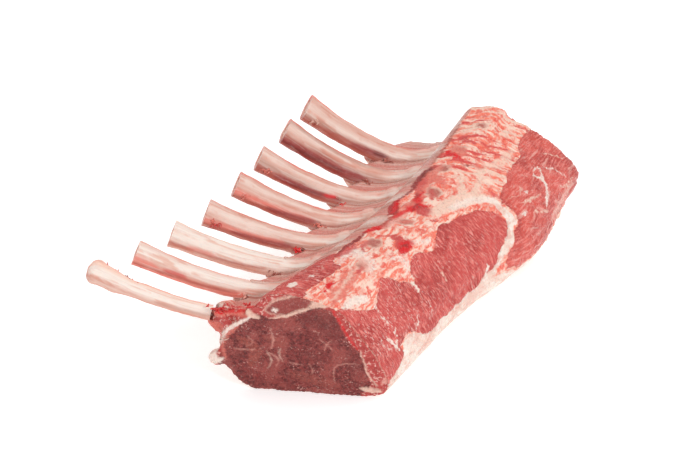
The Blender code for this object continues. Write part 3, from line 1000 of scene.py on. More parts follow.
# %% Group: veins (thin pale lines, as fat has between the bundles of a muscle)
veins, given, result = new_group(
    "veins",
    "ShaderNodeTree",
    [(VECTOR, "Vector", None), (FLOAT, "Scale", 100.0), (FLOAT, "Width", 0.04), (FLOAT, "Cover", 0.5)],
    [(FLOAT, "Mask")],
)
vein_noise = add_node(
    veins,
    "ShaderNodeTexNoise",
    {"Vector": given["Vector"], "Scale": given["Scale"], "Detail": 2.0, "Roughness": 0.55, "Distortion": 0.6},
)
from_middle = maths(veins, "ABSOLUTE", maths(veins, "SUBTRACT", vein_noise.outputs["Fac"], 0.5))
line = ramp(veins, from_middle, 0.0, given["Width"], 1.0, 0.0)
where_scale = maths(veins, "MULTIPLY", given["Scale"], 0.7)
where_noise = add_node(
    veins, "ShaderNodeTexNoise", {"Vector": given["Vector"], "Scale": where_scale, "Detail": 1.0}
)
cover_low = maths(veins, "SUBTRACT", 0.95, given["Cover"])
cover_high = maths(veins, "ADD", cover_low, 0.12)
where = ramp(veins, where_noise.outputs["Fac"], cover_low, cover_high)
veins.links.new(maths(veins, "MULTIPLY", line, where), result["Mask"])

# %% Group: torn edge (makes a soft painted mask end in a fine ragged line)
torn_edge, given, result = new_group(
    "torn edge",
    "ShaderNodeTree",
    [(FLOAT, "Mask", 0.5), (VECTOR, "Vector", None), (FLOAT, "Scale", 900.0), (FLOAT, "Fray", 0.5), (FLOAT, "Softness", 0.15)],
    [(FLOAT, "Mask")],
)
tear_noise = add_node(
    torn_edge, "ShaderNodeTexNoise", {"Vector": given["Vector"], "Scale": given["Scale"], "Detail": 3.0}
)
tear = maths(torn_edge, "MULTIPLY", maths(torn_edge, "SUBTRACT", tear_noise.outputs["Fac"], 0.5), given["Fray"])
torn = maths(torn_edge, "ADD", given["Mask"], tear)
edge_low = maths(torn_edge, "SUBTRACT", 0.5, given["Softness"])
edge_high = maths(torn_edge, "ADD", 0.5, given["Softness"])
torn_edge.links.new(ramp(torn_edge, torn, edge_low, edge_high), result["Mask"])
print("groups:", [group.name for group in bpy.data.node_groups])

# %% [markdown]
# ## The finish of the flesh
# One material covers the skin. It reads the painted masks, frays their edges, and lays the tissues
# over each other: the pink crest first, then lean, membrane, fat, and strokes of bone, blood and painted shade.

# %% Flesh material
def new_material(name):
    made = bpy.data.materials.new(name)
    made.use_nodes = True
    return made, made.node_tree, made.node_tree.nodes["Principled BSDF"]


def attribute(tree, name, output="Color"):
    return add_node(tree, "ShaderNodeAttribute", attribute_name=name).outputs[output]


flesh_paint, tree, shader = new_material("raw flesh")
place = add_node(tree, "ShaderNodeTexCoord").outputs["Object"]
label_at = attribute(tree, "label", "Vector")
tissue = add_node(tree, "ShaderNodeSeparateColor", {"Color": attribute(tree, "tissue")}).outputs
marks = add_node(tree, "ShaderNodeSeparateColor", {"Color": attribute(tree, "marks")}).outputs
along_loin = add_node(tree, "ShaderNodeSeparateXYZ", {"Vector": label_at}).outputs["X"]


def torn_mask(socket, scale=900.0, fray=0.8, softness=0.15):
    inputs = {"Mask": socket, "Vector": place, "Scale": scale, "Fray": fray, "Softness": softness}
    return use_group(tree, torn_edge, inputs)["Mask"]


def strand_mask(stretch, bend, low, high, output="Mask"):
    inputs = {"Vector": label_at, "Stretch": stretch, "Bend": bend, "Low": low, "High": high}
    return use_group(tree, strands, inputs)[output]


def mottle_mask(scale, low=0.38, high=0.62, output="Mask"):
    inputs = {"Vector": place, "Scale": scale, "Low": low, "High": high}
    return use_group(tree, mottle, inputs)[output]


def part(socket, share):
    return maths(tree, "MULTIPLY", socket, share)


lean_at, fat_at, pleura_at = (torn_mask(tissue[name]) for name in ("Red", "Green", "Blue"))
cap_at = marks["Red"]
cut_at, eye_at = marks["Green"], torn_mask(marks["Blue"], 1200.0, 0.5, 0.2)

# %% Crest: cream fat with pink and orange streaks, which turn across the loin towards the shoulder
far_half = ramp(tree, along_loin, 0.10, 0.13)
near_streaks = strand_mask((130, 420, 130), 0.005, 0.42, 0.56)
far_streaks = strand_mask((430, 80, 430), 0.004, 0.40, 0.54)
streaks = add_node(tree, "ShaderNodeMix", {0: far_half, 2: near_streaks, 3: far_streaks}).outputs[0]
crest_colour = blend(tree, streaks, (0.95, 0.66, 0.54), (0.90, 0.21, 0.14))
crest_colour = blend(tree, part(mottle_mask(190.0, 0.52, 0.64), 0.85), crest_colour, (0.93, 0.66, 0.54))
crest_colour = blend(tree, part(mottle_mask(230.0, 0.53, 0.62), 0.8), crest_colour, (0.78, 0.10, 0.07))
crest_colour = blend(tree, part(mottle_mask(800.0, 0.54, 0.68), 0.6), crest_colour, (0.95, 0.72, 0.61))
crest_colour = blend(tree, part(mottle_mask(70.0, 0.54, 0.68), 0.5), crest_colour, (0.80, 0.17, 0.12))

# %% Lean meat: red bundles with thin pale lines of fat between them
lean_height = strand_mask((1100, 120, 1100), 0.002, 0.35, 0.7, "Height")
flank_lines = strand_mask((1300, 170, 1300), 0.002, 0.46, 0.68)
flank_veins = strand_mask((700, 90, 700), 0.004, 0.62, 0.68)
cap_lines = strand_mask((190, 1100, 190), 0.002, 0.44, 0.68)
cap_veins = strand_mask((70, 460, 70), 0.006, 0.58, 0.66)
lean_lines = add_node(tree, "ShaderNodeMix", {0: cap_at, 2: flank_lines, 3: cap_lines}).outputs[0]
lean_veins = add_node(tree, "ShaderNodeMix", {0: cap_at, 2: flank_veins, 3: cap_veins}).outputs[0]
near_end = ramp(tree, along_loin, 0.02, 0.09, 1.0, 0.0)
lean_colour = blend(tree, cap_at, (0.60, 0.075, 0.065), (0.68, 0.095, 0.07))
lean_colour = blend(tree, part(mottle_mask(55.0, 0.42, 0.62), 0.65), lean_colour, (0.38, 0.028, 0.025))
lean_colour = blend(tree, part(lean_lines, 0.9), lean_colour, (0.86, 0.25, 0.21))
lean_colour = blend(tree, part(lean_veins, 0.5), lean_colour, (0.88, 0.50, 0.42))
flecks = maths(tree, "MULTIPLY", strand_mask((1500, 420, 1500), 0.002, 0.55, 0.66), mottle_mask(90.0, 0.42, 0.56))
fleck_share = maths(tree, "ADD", maths(tree, "MULTIPLY", near_end, 0.45), 0.4)
lean_colour = blend(tree, maths(tree, "MULTIPLY", flecks, fleck_share), lean_colour, (0.90, 0.54, 0.48))

# %% Membrane, fat, far cut and painted strokes
pleura_lines = strand_mask((300, 10, 300), 0.0008, 0.38, 0.62)
pleura_fine = strand_mask((900, 16, 900), 0.0008, 0.52, 0.64)
pleura_colour = blend(tree, part(pleura_lines, 0.3), attribute(tree, "membrane"), (0.54, 0.18, 0.15))
pleura_colour = blend(tree, part(pleura_fine, 0.45), pleura_colour, (0.90, 0.70, 0.61))
fat_streaks = strand_mask((90, 420, 90), 0.004, 0.5, 0.64)
fat_colour = blend(tree, mottle_mask(120.0), (0.90, 0.77, 0.68), (0.83, 0.56, 0.47))
fat_colour = blend(tree, part(fat_streaks, 0.5), fat_colour, (0.76, 0.33, 0.26))
fat_colour = blend(tree, part(mottle_mask(300.0, 0.52, 0.66), 0.6), fat_colour, (0.95, 0.88, 0.81))
painted = attribute(tree, "paint")
cover = torn_mask(attribute(tree, "paint", "Alpha"), 700.0, 1.0, 0.3)
painted_dark = blend(tree, part(mottle_mask(650.0, 0.5, 0.7), 0.35), painted, (0.35, 0.05, 0.045))
painted_all = blend(tree, part(mottle_mask(1100.0, 0.56, 0.68), 0.2), painted_dark, (0.92, 0.62, 0.54))

# %% Near cut face: dark grainy meat with pale specks, partly fat and partly painted wet highlights
grain = mottle_mask(600.0, 0.42, 0.60)
cut_colour = blend(tree, part(grain, 0.75), painted, (0.09, 0.008, 0.008))
cut_colour = blend(tree, part(mottle_mask(90.0, 0.46, 0.60), 0.6), cut_colour, (0.40, 0.085, 0.07))
cut_colour = blend(tree, part(mottle_mask(900.0, 0.54, 0.64), 0.45), cut_colour, (0.46, 0.13, 0.11))
# Small pale specks: partly fat grains, partly painted wet highlights.
cut_flecks_and_glints = maths(tree, "MULTIPLY", mottle_mask(1000.0, 0.58, 0.65), mottle_mask(160.0, 0.48, 0.60))
cut_colour = blend(tree, part(cut_flecks_and_glints, 0.8), cut_colour, (0.78, 0.42, 0.36))
strip_colour = blend(tree, part(mottle_mask(260.0, 0.45, 0.6), 0.6), painted, (0.36, 0.035, 0.03))
strip_colour = blend(tree, part(mottle_mask(620.0, 0.54, 0.62), 0.75), strip_colour, (0.88, 0.50, 0.43))
cut_colour = blend(tree, eye_at, strip_colour, cut_colour)
cut_colour = blend(tree, part(attribute(tree, "paint", "Alpha"), cut_at), cut_colour, painted_all)

# %% Put the flesh together
colour = blend(tree, lean_at, crest_colour, lean_colour)
colour = blend(tree, pleura_at, colour, pleura_colour)
colour = blend(tree, fat_at, colour, fat_colour)
colour = blend(tree, cover, colour, painted_all)
colour = blend(tree, cut_at, colour, cut_colour)
tree.links.new(colour, shader.inputs["Base Color"])

rough_level = ramp(tree, mottle_mask(260.0, 0.3, 0.7), 0.0, 1.0, 0.18, 0.42)
tree.links.new(rough_level, shader.inputs["Roughness"])
grain_height = mottle_mask(900.0, output="Height")
height = maths(tree, "ADD", maths(tree, "MULTIPLY", lean_height, lean_at), grain_height)
bump = add_node(tree, "ShaderNodeBump", {"Height": height, "Strength": 1.0, "Distance": 0.0008})
tree.links.new(bump.outputs["Normal"], shader.inputs["Normal"])
shader.inputs["Subsurface Weight"].default_value = 0.1
shader.inputs["Subsurface Radius"].default_value = (1.0, 0.3, 0.2)
shader.inputs["Subsurface Scale"].default_value = 0.001
shader.inputs["Specular IOR Level"].default_value = 0.25
flesh.data.materials.clear()
flesh.data.materials.append(flesh_paint)
flesh.data.shade_smooth()
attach(flesh, "root")
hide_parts("meat", "fat_cap", "chine")
flesh.data.calc_loop_triangles()
print("flesh:", len(flesh.data.loop_triangles), "triangles")

# %% [markdown]
# ## The ribs
# A bared rib is a flattened tube of bone along a curve.

# %% Geometry nodes: rib bone
GEOMETRY, INTEGER, MATERIAL = "NodeSocketGeometry", "NodeSocketInt", "NodeSocketMaterial"
rib_tree, given, result = new_group(
    "rib bone",
    "GeometryNodeTree",
    [
        (GEOMETRY, "Path", None),
        (FLOAT, "Width", 14.2 * MM),
        (FLOAT, "Thickness", 6.6 * MM),
        (FLOAT, "Tilt", math.radians(-19)),
        (FLOAT, "Step", 0.9 * MM),
        (INTEGER, "Sides", 44),
        (FLOAT, "Lumps", 0.35 * MM),
        (FLOAT, "Seed", 0.0),
        (FLOAT, "Marrow share", 0.62),
        (MATERIAL, "Bone", None),
        (MATERIAL, "Marrow", None),
    ],
    [(GEOMETRY, "Bone")],
)
curve = add_node(rib_tree, "GeometryNodeMeshToCurve", {"Mesh": given["Path"]}).outputs["Curve"]
curve = add_node(rib_tree, "GeometryNodeCurveSplineType", {"Curve": curve}, spline_type="CATMULL_ROM").outputs[0]
curve = add_node(rib_tree, "GeometryNodeResampleCurve", {"Curve": curve, "Length": given["Step"]}, mode="LENGTH").outputs[0]
girth = add_node(rib_tree, "GeometryNodeInputNamedAttribute", {"Name": "girth"}, data_type="FLOAT").outputs["Attribute"]
curve = add_node(rib_tree, "GeometryNodeSetCurveRadius", {"Curve": curve, "Radius": girth}).outputs[0]
curve = add_node(rib_tree, "GeometryNodeSetCurveNormal", {"Curve": curve}, mode="Z_UP").outputs[0]
curve = add_node(rib_tree, "GeometryNodeSetCurveTilt", {"Curve": curve, "Tilt": given["Tilt"]}).outputs[0]
share = add_node(rib_tree, "GeometryNodeSplineParameter").outputs["Factor"]
curve = add_node(
    rib_tree, "GeometryNodeStoreNamedAttribute", {"Geometry": curve, "Name": "along", "Value": share}, data_type="FLOAT"
).outputs[0]
circle = add_node(
    rib_tree, "GeometryNodeCurvePrimitiveCircle", {"Resolution": given["Sides"], "Radius": 0.5}
).outputs["Curve"]
size = add_node(rib_tree, "ShaderNodeCombineXYZ", {"X": given["Width"], "Y": given["Thickness"], "Z": 1.0}).outputs[0]
profile = add_node(rib_tree, "GeometryNodeTransform", {"Geometry": circle, "Scale": size}).outputs[0]
tube = add_node(
    rib_tree, "GeometryNodeCurveToMesh", {"Curve": curve, "Profile Curve": profile, "Scale": girth, "Fill Caps": True}
).outputs[0]
area = add_node(rib_tree, "GeometryNodeInputMeshFaceArea").outputs[0]
is_cap = maths(rib_tree, "GREATER_THAN", area, 8 * MM * MM)
lip = add_node(
    rib_tree, "GeometryNodeExtrudeMesh", {"Mesh": tube, "Selection": is_cap, "Offset Scale": 0.0, "Individual": True}, mode="FACES"
)
inner = add_node(
    rib_tree, "GeometryNodeScaleElements", {"Geometry": lip.outputs["Mesh"], "Selection": lip.outputs["Top"], "Scale": given["Marrow share"]}
).outputs[0]
recess = add_node(
    rib_tree, "GeometryNodeExtrudeMesh", {"Mesh": inner, "Selection": lip.outputs["Top"], "Offset Scale": -0.5 * MM, "Individual": True}, mode="FACES"
)
spot = add_node(rib_tree, "GeometryNodeInputPosition").outputs[0]
seed_shift = add_node(rib_tree, "ShaderNodeCombineXYZ", {"X": given["Seed"], "Y": given["Seed"], "Z": 0.0}).outputs[0]
spot = add_node(rib_tree, "ShaderNodeVectorMath", {0: spot, 1: seed_shift}, operation="ADD").outputs[0]
lump = add_node(rib_tree, "ShaderNodeTexNoise", {"Vector": spot, "Scale": 110.0, "Detail": 3.0}).outputs["Fac"]
lift = maths(rib_tree, "MULTIPLY", maths(rib_tree, "SUBTRACT", lump, 0.5), maths(rib_tree, "MULTIPLY", given["Lumps"], 4.0))
normal = add_node(rib_tree, "GeometryNodeInputNormal").outputs[0]
offset = add_node(rib_tree, "ShaderNodeVectorMath", {0: normal}, operation="SCALE")
rib_tree.links.new(lift, offset.inputs["Scale"])
shaped = add_node(rib_tree, "GeometryNodeSetPosition", {"Geometry": recess.outputs["Mesh"], "Offset": offset.outputs[0]}).outputs[0]
below = add_node(rib_tree, "ShaderNodeVectorMath", {0: normal, 1: (-0.2, -0.6, -0.75)}, operation="DOT_PRODUCT").outputs["Value"]
shaped = add_node(
    rib_tree, "GeometryNodeStoreNamedAttribute", {"Geometry": shaped, "Name": "under", "Value": below}, data_type="FLOAT"
).outputs[0]
shaped = add_node(rib_tree, "GeometryNodeSetShadeSmooth", {"Geometry": shaped}).outputs[0]
bend = add_node(rib_tree, "GeometryNodeInputMeshEdgeAngle").outputs["Unsigned Angle"]
is_sharp = maths(rib_tree, "GREATER_THAN", bend, math.radians(45))
shaped = add_node(
    rib_tree, "GeometryNodeSetShadeSmooth", {"Geometry": shaped, "Selection": is_sharp, "Shade Smooth": False}, domain="EDGE"
).outputs[0]
shaped = add_node(rib_tree, "GeometryNodeRealizeInstances", {"Geometry": shaped}).outputs[0]
shaped = add_node(rib_tree, "GeometryNodeSetMaterial", {"Geometry": shaped, "Material": given["Bone"]}).outputs[0]
inside_end = add_node(rib_tree, "FunctionNodeBooleanMath", {0: recess.outputs["Top"], 1: recess.outputs["Side"]}, operation="OR").outputs[0]
shaped = add_node(
    rib_tree, "GeometryNodeSetMaterial", {"Geometry": shaped, "Selection": inside_end, "Material": given["Marrow"]}
).outputs[0]
rib_tree.links.new(shaped, result["Bone"])

# %% Bone and marrow materials
bone_paint, tree, shader = new_material("scraped bone")
place = add_node(tree, "ShaderNodeTexCoord").outputs["Object"]
label_at = attribute(tree, "label", "Vector")
painted = attribute(tree, "paint")
grain = strand_mask((40, 700, 700), 0.001, 0.45, 0.7)
bone_colour = blend(tree, part(grain, 0.28), painted, (0.60, 0.25, 0.19))
pale_grain = strand_mask((30, 500, 500), 0.001, 0.5, 0.7)
bone_colour = blend(tree, part(pale_grain, 0.3), bone_colour, (0.90, 0.76, 0.68))
tree.links.new(bone_colour, shader.inputs["Base Color"])
tree.links.new(ramp(tree, mottle_mask(300.0), 0.0, 1.0, 0.3, 0.5), shader.inputs["Roughness"])
height = maths(tree, "ADD", strand_mask((70, 900, 900), 0.001, 0.4, 0.6, "Height"), mottle_mask(500.0, output="Height"))
bump = add_node(tree, "ShaderNodeBump", {"Height": height, "Strength": 0.5, "Distance": 0.0005})
tree.links.new(bump.outputs["Normal"], shader.inputs["Normal"])
shader.inputs["Subsurface Weight"].default_value = 0.1
shader.inputs["Subsurface Radius"].default_value = (1.0, 0.5, 0.35)
shader.inputs["Subsurface Scale"].default_value = 0.001
shader.inputs["Specular IOR Level"].default_value = 0.4

marrow_paint, tree, shader = new_material("marrow")
place = add_node(tree, "ShaderNodeTexCoord").outputs["Object"]
marrow_colour = blend(tree, mottle_mask(1300.0, 0.4, 0.6), (0.66, 0.30, 0.23), (0.86, 0.62, 0.52))
tree.links.new(marrow_colour, shader.inputs["Base Color"])
bump = add_node(tree, "ShaderNodeBump", {"Height": mottle_mask(1300.0, output="Height"), "Strength": 0.8, "Distance": 0.0005})
tree.links.new(bump.outputs["Normal"], shader.inputs["Normal"])
shader.inputs["Roughness"].default_value = 0.5


# %% Build the ribs
def set_inputs(modifier, values):
    ids = {}
    for item in modifier.node_group.interface.items_tree:
        if item.item_type == "SOCKET" and item.in_out == "INPUT":
            ids[item.name] = item.identifier
    for key, value in values.items():
        modifier[ids[key]] = value


def grown(name, base_mesh, group, values):
    """Runs a geometry node group on a mesh and returns the result as a plain mesh object."""
    carrier = add_object(name + "_base", base_mesh)
    modifier = carrier.modifiers.new("grow", "NODES")
    modifier.node_group = group
    set_inputs(modifier, values)
    mesh = evaluated_mesh(carrier)
    bpy.data.objects.remove(carrier)
    mesh.name = name
    return add_object(name, mesh)


def path_mesh(places, girths):
    mesh = bpy.data.meshes.new("path")
    mesh.from_pydata([tuple(p) for p in places], [(i, i + 1) for i in range(len(places) - 1)], [])
    mesh.attributes.new("girth", "FLOAT", "POINT").data.foreach_set("value", girths.astype(np.float32))
    return mesh


def vertex_normals(mesh):
    return np.array([v.normal for v in mesh.vertices])


# %% Paint the ribs
RIB_ANGLES = (-20, 36, 56, 84, 108, 128, 146, 168, 340)  # around a rib: 0 far side, 90 top, 180 near side
# Each row is the bone's own tones, with a painted highlight along the top (84 to 128) and painted shade towards the
# near side (146 to 168), which is partly meat left on the bone.
RIB_TONES_HIGHLIGHT_SHADE = (  # the paint at each of those angles
    ("pink", "pink", "cream", "ivory", "ivory", "ivory", "shell", "beige", "pink"),
    ("pink", "pink", "shell", "ivory", "ivory", "shell", "beige", "orange", "pink"),
    ("pink", "cream", "ivory", "ivory", "ivory", "ivory", "shell", "beige", "pink"),
    ("pink", "orange", "beige", "shell", "shell", "beige", "taupe", "brown", "pink"),
    ("pink", "orange", "beige", "shell", "beige", "beige", "beige", "brown", "pink"),
    ("pink", "orange", "beige", "shell", "beige", "taupe", "taupe", "brown", "pink"),
    ("pink", "orange", "taupe", "shell", "beige", "taupe", "brown", "dark", "pink"),
    ("red", "orange", "beige", "beige", "shell", "shell", "taupe", "brown", "pink"),
)
RIB_ARC = 0.1  # mm of bone for each degree around a rib
# The dark, brown, taupe and near-black strokes along each rib's near lower side, at angles from about 164 to 192, are
# partly meat and blood left on the bone and partly painted shade.
RIB_STROKES = (  # for each rib: paint, half width, strength, then (x in mm, angle) points
    (
        ("taupe", 0.9, 0.6, ((-62, 182), (-50, 180), (-40, 176))),
        ("pink", 0.8, 0.5, ((-66, 60), (-56, 66))),
    ),
    (
        ("orange", 1.3, 0.8, ((-86, 166), (-80, 170), (-74, 176))),
        ("red", 1.2, 0.8, ((-70, 176), (-65, 172), (-62, 176))),
        ("brown", 0.7, 0.8, ((-84, 192), (-60, 188), (-40, 182))),
    ),
    (("brown", 0.6, 0.8, ((-84, 186), (-60, 184), (-40, 178))), ("orange", 0.7, 0.6, ((-72, 178), (-62, 174)))),
    (
        ("orange", 1.2, 0.85, ((-88, 176), (-66, 172), (-44, 166))),
        ("dark", 1.2, 0.85, ((-64, 188), (-50, 184), (-40, 176))),
        ("red", 1.4, 0.8, ((-88, 150), (-86, 180))),
    ),
    (
        ("orange", 1.1, 0.9, ((-88, 174), (-66, 168), (-42, 160))),
        ("dark", 1.3, 0.9, ((-60, 186), (-50, 178), (-40, 170))),
    ),
    (
        ("brown", 1.3, 0.85, ((-84, 184), (-70, 176), (-56, 172), (-40, 166))),
        ("dark", 1.4, 0.95, ((-68, 182), (-56, 178), (-40, 172))),
        ("pitch", 0.6, 0.4, ((-62, 184), (-48, 178))),
        ("blood", 1.3, 0.95, ((-46, 166), (-42, 162))),
        ("red", 1.6, 0.85, ((-88, 110), (-87, 150), (-86, 185))),
    ),
    (
        ("brown", 2.0, 0.8, ((-84, 178), (-64, 168), (-44, 164))),
        ("dark", 1.9, 0.95, ((-86, 184), (-70, 176), (-54, 172), (-40, 168))),
        ("pitch", 0.7, 0.5, ((-76, 182), (-62, 178), (-50, 176))),
        ("brown", 1.0, 0.6, ((-88, 130), (-84, 150))),
    ),
    (
        ("orange", 1.2, 0.9, ((-88, 66), (-78, 60), (-66, 50))),
        ("brown", 1.2, 0.8, ((-66, 176), (-54, 168), (-42, 164))),
        ("dark", 1.4, 0.95, ((-56, 178), (-48, 168), (-40, 166))),
        ("pitch", 0.7, 0.6, ((-46, 168), (-41, 166))),
    ),
)
# Where a rib's root runs under the membrane: mauve membrane, with a painted highlight along the top of the bone and
# painted shade on its near side.
MEMBRANE_TONE_HIGHLIGHT_SHADE = ("mauve", "mauve", "pink", "shell", "ivory", "beige", "taupe", "mauve", "mauve")
ROOT_END = -36  # mm, the x where the bare bone starts
TIP_STAIN = 5  # mm


def around_colours(look, turns):
    colours = np.array([PAINTS[name] for name in look])
    return np.column_stack([np.interp(turns, RIB_ANGLES, channel) for channel in colours.T])


def paint_rib(bone, number, centre, seed):
    """Colours a rib: a painted highlight along its top, a dark near side that is partly meat left on it and partly
    painted shade, stains, red at the saw cut.
    """
    points = points_of(bone.data)
    mm = points / MM
    station, _, x, z = unroll(points)
    across = station - (FIRST_RIB + RIB_PITCH * number)
    order = np.argsort(centre[:, 0])
    above = z - np.interp(x, centre[order, 0] / MM, centre[order, 2] / MM)
    turns = np.degrees(np.arctan2(above * 1.7, across)) % 360
    turns = np.where(turns > 300, turns - 360, turns)
    lines = ripple(np.column_stack((x / 16, across, above * 1.5)), 1.6, seed, 3)
    patches = ripple(np.column_stack((x / 3, across, above)), 5, seed + 2, 2)
    turns_plain = turns
    turns = turns + 14 * patches + 5 * lines
    colour = around_colours(RIB_TONES_HIGHLIGHT_SHADE[number], turns)
    wall = around_colours(MEMBRANE_TONE_HIGHLIGHT_SHADE, turns)
    colour += (wall - colour) * ease(x + 3 * patches, ROOT_END, ROOT_END + 10)[:, None]
    streak = ease(lines, 0.15, 0.55)[:, None]
    colour += (colour * (0.90, 0.66, 0.60) - colour) * streak
    shine = ease(-lines, 0.2, 0.6)[:, None]
    colour += (np.array(PAINTS["ivory"]) - colour) * 0.2 * shine
    ragged = x - x.min() - 2 * patches
    tip = ease(-ragged, -TIP_STAIN, -1) * ease(turns, 60, 180)
    colour += (np.array(PAINTS["red"]) - colour) * (0.3 * tip)[:, None]
    on_bone = np.column_stack((x + 1.5 * patches, turns_plain * RIB_ARC + 0.5 * patches + 0.25 * lines))
    strokes = [
        (paint, half_width * 1.3, strength, [(at, (turn - 20) * RIB_ARC) for at, turn in curve])
        for paint, half_width, strength, curve in RIB_STROKES[number]
    ]
    # The rib's strokes: stains, and painted shade along its near lower side.
    stains_and_shade, stains_and_shade_cover = paint_strokes(on_bone, strokes, 0.5, 0.4)
    colour += (stains_and_shade - colour) * stains_and_shade_cover[:, None]
    store_colour(bone.data, "paint", *np.clip(colour, 0, 1).T)
    store_vector(bone.data, "label", np.column_stack((x, across, above)) * MM)


RIB_GIRTHS = (0.84, 0.88, 0.96, 1.0, 1.0, 1.0, 1.05, 1.08)
TIP_FLARE = (1.02, 1.07, 1.13)  # girth of the last three points against the shaft
RIB_1_ROOT = -38 * MM  # where the first bone goes into the torn meat at the corner
KNOB = ((2.5, 1.08), (4.6, 0.86), (5.8, 0.55), (6.3, 0.12))  # mm past rib 1's end, and girth

for number, name in enumerate(RIBS):
    places, areas = rib_lines[name]
    girths = np.sqrt(areas / full_area) * RIB_GIRTHS[number]
    girths[-3:] *= TIP_FLARE
    if number == 0:
        bared = places[:, 0] < RIB_1_ROOT
        places, girths = places[bared], girths[bared]
        run = places[-1] - places[-2]
        run /= np.linalg.norm(run)
        places = np.vstack([places] + [places[-1] + run * reach * MM for reach, _ in KNOB])
        girths = np.append(girths, [girths[-1] * share for _, share in KNOB])
    bone = grown(
        name.replace("rib", "rib_bone"),
        path_mesh(places, girths),
        rib_tree,
        {"Seed": number * 0.37, "Bone": bone_paint, "Marrow": marrow_paint},
    )
    paint_rib(bone, number, places, 30 + number)
    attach(bone, "root")
    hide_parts(name)
    box = points_of(bone.data) / MM
    cad_tip = points_of(nodes[name].data)[:, 0].min() / MM
    print(bone.name, len(bone.data.polygons), "faces, tip at x", box[:, 0].min().round(1), "CAD", cad_tip.round(1))

# %% [markdown]
# ## Shreds
# Scraping never gets a bone quite clean: small shreds of meat hang where the bare bone starts and at
# the saw cut. Each is a short tapered strand. A node tree bends one strand, copies it to every point
# of a small cloud, turns it by what the point says and gives it a random size. It then crumples them all.

# %% Geometry nodes: torn shreds
shred_tree, given, result = new_group(
    "torn shreds",
    "GeometryNodeTree",
    [
        (GEOMETRY, "Spots", None),
        (FLOAT, "Length", 1.7 * MM),
        (FLOAT, "Thickness", 0.5 * MM),
        (FLOAT, "Bend", 0.5 * MM),
        (FLOAT, "Crumple", 0.7 * MM),
        (INTEGER, "Seed", 7),
        (MATERIAL, "Shred", None),
    ],
    [(GEOMETRY, "Shreds")],
)
middle = add_node(shred_tree, "ShaderNodeCombineXYZ", {"X": given["Bend"], "Z": maths(shred_tree, "MULTIPLY", given["Length"], 0.5)})
far_end = add_node(shred_tree, "ShaderNodeCombineXYZ", {"Z": given["Length"]}).outputs[0]
strand = add_node(
    shred_tree, "GeometryNodeCurveQuadraticBezier", {"Resolution": 5, "Start": (0, 0, 0), "Middle": middle.outputs[0], "End": far_end}
).outputs[0]
down = add_node(shred_tree, "GeometryNodeSplineParameter").outputs["Factor"]
taper = ramp(shred_tree, down, 0.0, 1.0, 1.0, 0.25)
ring = add_node(shred_tree, "GeometryNodeCurvePrimitiveCircle", {"Resolution": 6}).outputs["Curve"]
shred_tree.links.new(given["Thickness"], ring.node.inputs["Radius"])
strand = add_node(
    shred_tree, "GeometryNodeCurveToMesh", {"Curve": strand, "Profile Curve": ring, "Scale": taper, "Fill Caps": True}
).outputs[0]
aim = add_node(
    shred_tree, "GeometryNodeInputNamedAttribute", {"Name": "aim"}, data_type="FLOAT_VECTOR"
).outputs["Attribute"]
turned = add_node(shred_tree, "FunctionNodeAlignRotationToVector", {"Vector": aim}, axis="Z").outputs[0]
sizes = add_node(
    shred_tree, "FunctionNodeRandomValue", {2: 0.5, 3: 1.3, "Seed": given["Seed"]}, data_type="FLOAT"
).outputs[1]
copies = add_node(
    shred_tree, "GeometryNodeInstanceOnPoints", {"Points": given["Spots"], "Instance": strand, "Rotation": turned, "Scale": sizes}
).outputs[0]
copies = add_node(shred_tree, "GeometryNodeRealizeInstances", {"Geometry": copies}).outputs[0]
where = add_node(shred_tree, "GeometryNodeInputPosition").outputs[0]
wave = add_node(shred_tree, "ShaderNodeTexNoise", {"Vector": where, "Scale": 420.0, "Detail": 1.0}).outputs["Color"]
wave = add_node(shred_tree, "ShaderNodeVectorMath", {0: wave, 1: (0.5, 0.5, 0.5)}, operation="SUBTRACT").outputs[0]
push = add_node(shred_tree, "ShaderNodeVectorMath", {0: wave}, operation="SCALE")
shred_tree.links.new(maths(shred_tree, "MULTIPLY", given["Crumple"], 3.0), push.inputs["Scale"])
copies = add_node(shred_tree, "GeometryNodeSetPosition", {"Geometry": copies, "Offset": push.outputs[0]}).outputs[0]
copies = add_node(shred_tree, "GeometryNodeSetShadeSmooth", {"Geometry": copies}).outputs[0]
copies = add_node(shred_tree, "GeometryNodeSetMaterial", {"Geometry": copies, "Material": given["Shred"]}).outputs[0]
shred_tree.links.new(copies, result["Shreds"])

# %% Place the shreds
SHRED_SEED = 11
RIB_SHREDS = (  # rib, x in mm, angle around the bone, how many, paint
    (2, -38, 176, 10, "pink"), (3, -37, 176, 10, "brown"), (4, -38, 174, 24, "blood"), (5, -40, 172, 22, "orange"),
    (6, -41, 172, 16, "blood"), (7, -41, 174, 18, "brown"), (8, -42, 170, 20, "brown"), (4, -75, 176, 20, "red"),
    (4, -77, 150, 8, "orange"), (6, -76, 176, 16, "orange"), (8, -77, 176, 14, "beige"), (5, -74, 176, 6, "orange"),
    (1, -88, 24, 30, "red"), (1, -84, 20, 34, "red"), (1, -80, 16, 22, "dark"), (1, -76, 14, 10, "orange"),
)  # fmt: skip
CUT_SHREDS = (  # station, x and z in mm, how many, paint
    (4, -37, 46, 20, "blood"), (3, -30, 48.5, 16, "red"), (6, -25, 49, 12, "blood"), (8, -39, 40, 12, "orange"),
)  # fmt: skip

chance = np.random.default_rng(SHRED_SEED)


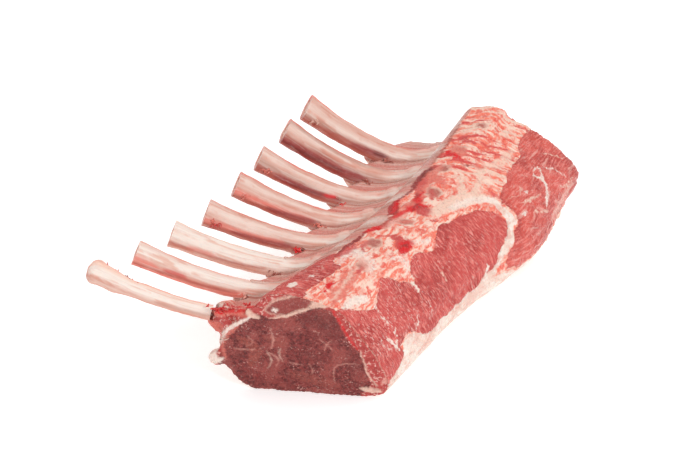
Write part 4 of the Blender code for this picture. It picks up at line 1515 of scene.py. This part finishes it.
def on_bone(number, x, turn):
    """A point on the skin of a rib, and the direction out of it."""
    places, areas = rib_lines[RIBS[number - 1]]
    y, z, area = (np.interp(x * MM, places[::-1, 0], row[::-1]) for row in (places[:, 1], places[:, 2], areas))
    girth = math.sqrt(area / full_area) * RIB_GIRTHS[number - 1]
    side, up = math.cos(math.radians(turn)), math.sin(math.radians(turn))
    across = -end_normal * side  # square to the bone, which leans as the cuts do
    spot = Vector((x * MM, y, z)) + across * 6.5 * MM * girth + Vector((0, 0, 2.6 * MM * up * girth))
    return spot, (across + Vector((-0.6, -0.3, 0.4 * up))).normalized()


spots, aims, shred_paints = [], [], []
clusters = [(*on_bone(number, x, turn), count, paint) for number, x, turn, count, paint in RIB_SHREDS]
clusters += [(on_rack(t, x, z), Vector((x / 60, -0.5, (z - 27) / 60)), count, paint) for t, x, z, count, paint in CUT_SHREDS]
for middle, outward, count, paint in clusters:
    for _ in range(count):
        spots.append(middle + Vector(chance.normal(0, 1.0, 3) * (1.8, 0.8, 0.4)) * MM)
        aims.append((outward + Vector(chance.normal(0, 0.45, 3))).normalized())
        shred_paints.append(np.array(PAINTS[paint]) * chance.uniform(0.75, 1.15))
cloud = bpy.data.meshes.new("spots")
cloud.from_pydata([tuple(spot) for spot in spots], [], [])
store_vector(cloud, "aim", np.array([tuple(aim) for aim in aims]))
store_colour(cloud, "paint", *np.clip(np.array(shred_paints), 0, 1).T)

shred_paint, tree, shader = new_material("torn meat")
place = add_node(tree, "ShaderNodeTexCoord").outputs["Object"]
shred_colour = blend(tree, part(mottle_mask(900.0, 0.5, 0.65), 0.5), attribute(tree, "paint"), (0.86, 0.50, 0.42))
tree.links.new(shred_colour, shader.inputs["Base Color"])
shader.inputs["Roughness"].default_value = 0.3
shader.inputs["Specular IOR Level"].default_value = 0.3
bump = add_node(tree, "ShaderNodeBump", {"Height": mottle_mask(1100.0, output="Height"), "Strength": 0.6, "Distance": 0.0004})
tree.links.new(bump.outputs["Normal"], shader.inputs["Normal"])
shreds = grown("torn_shreds", cloud, shred_tree, {"Shred": shred_paint})
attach(shreds, "root")
print("shreds:", len(spots), "of", len(shreds.data.polygons), "faces")
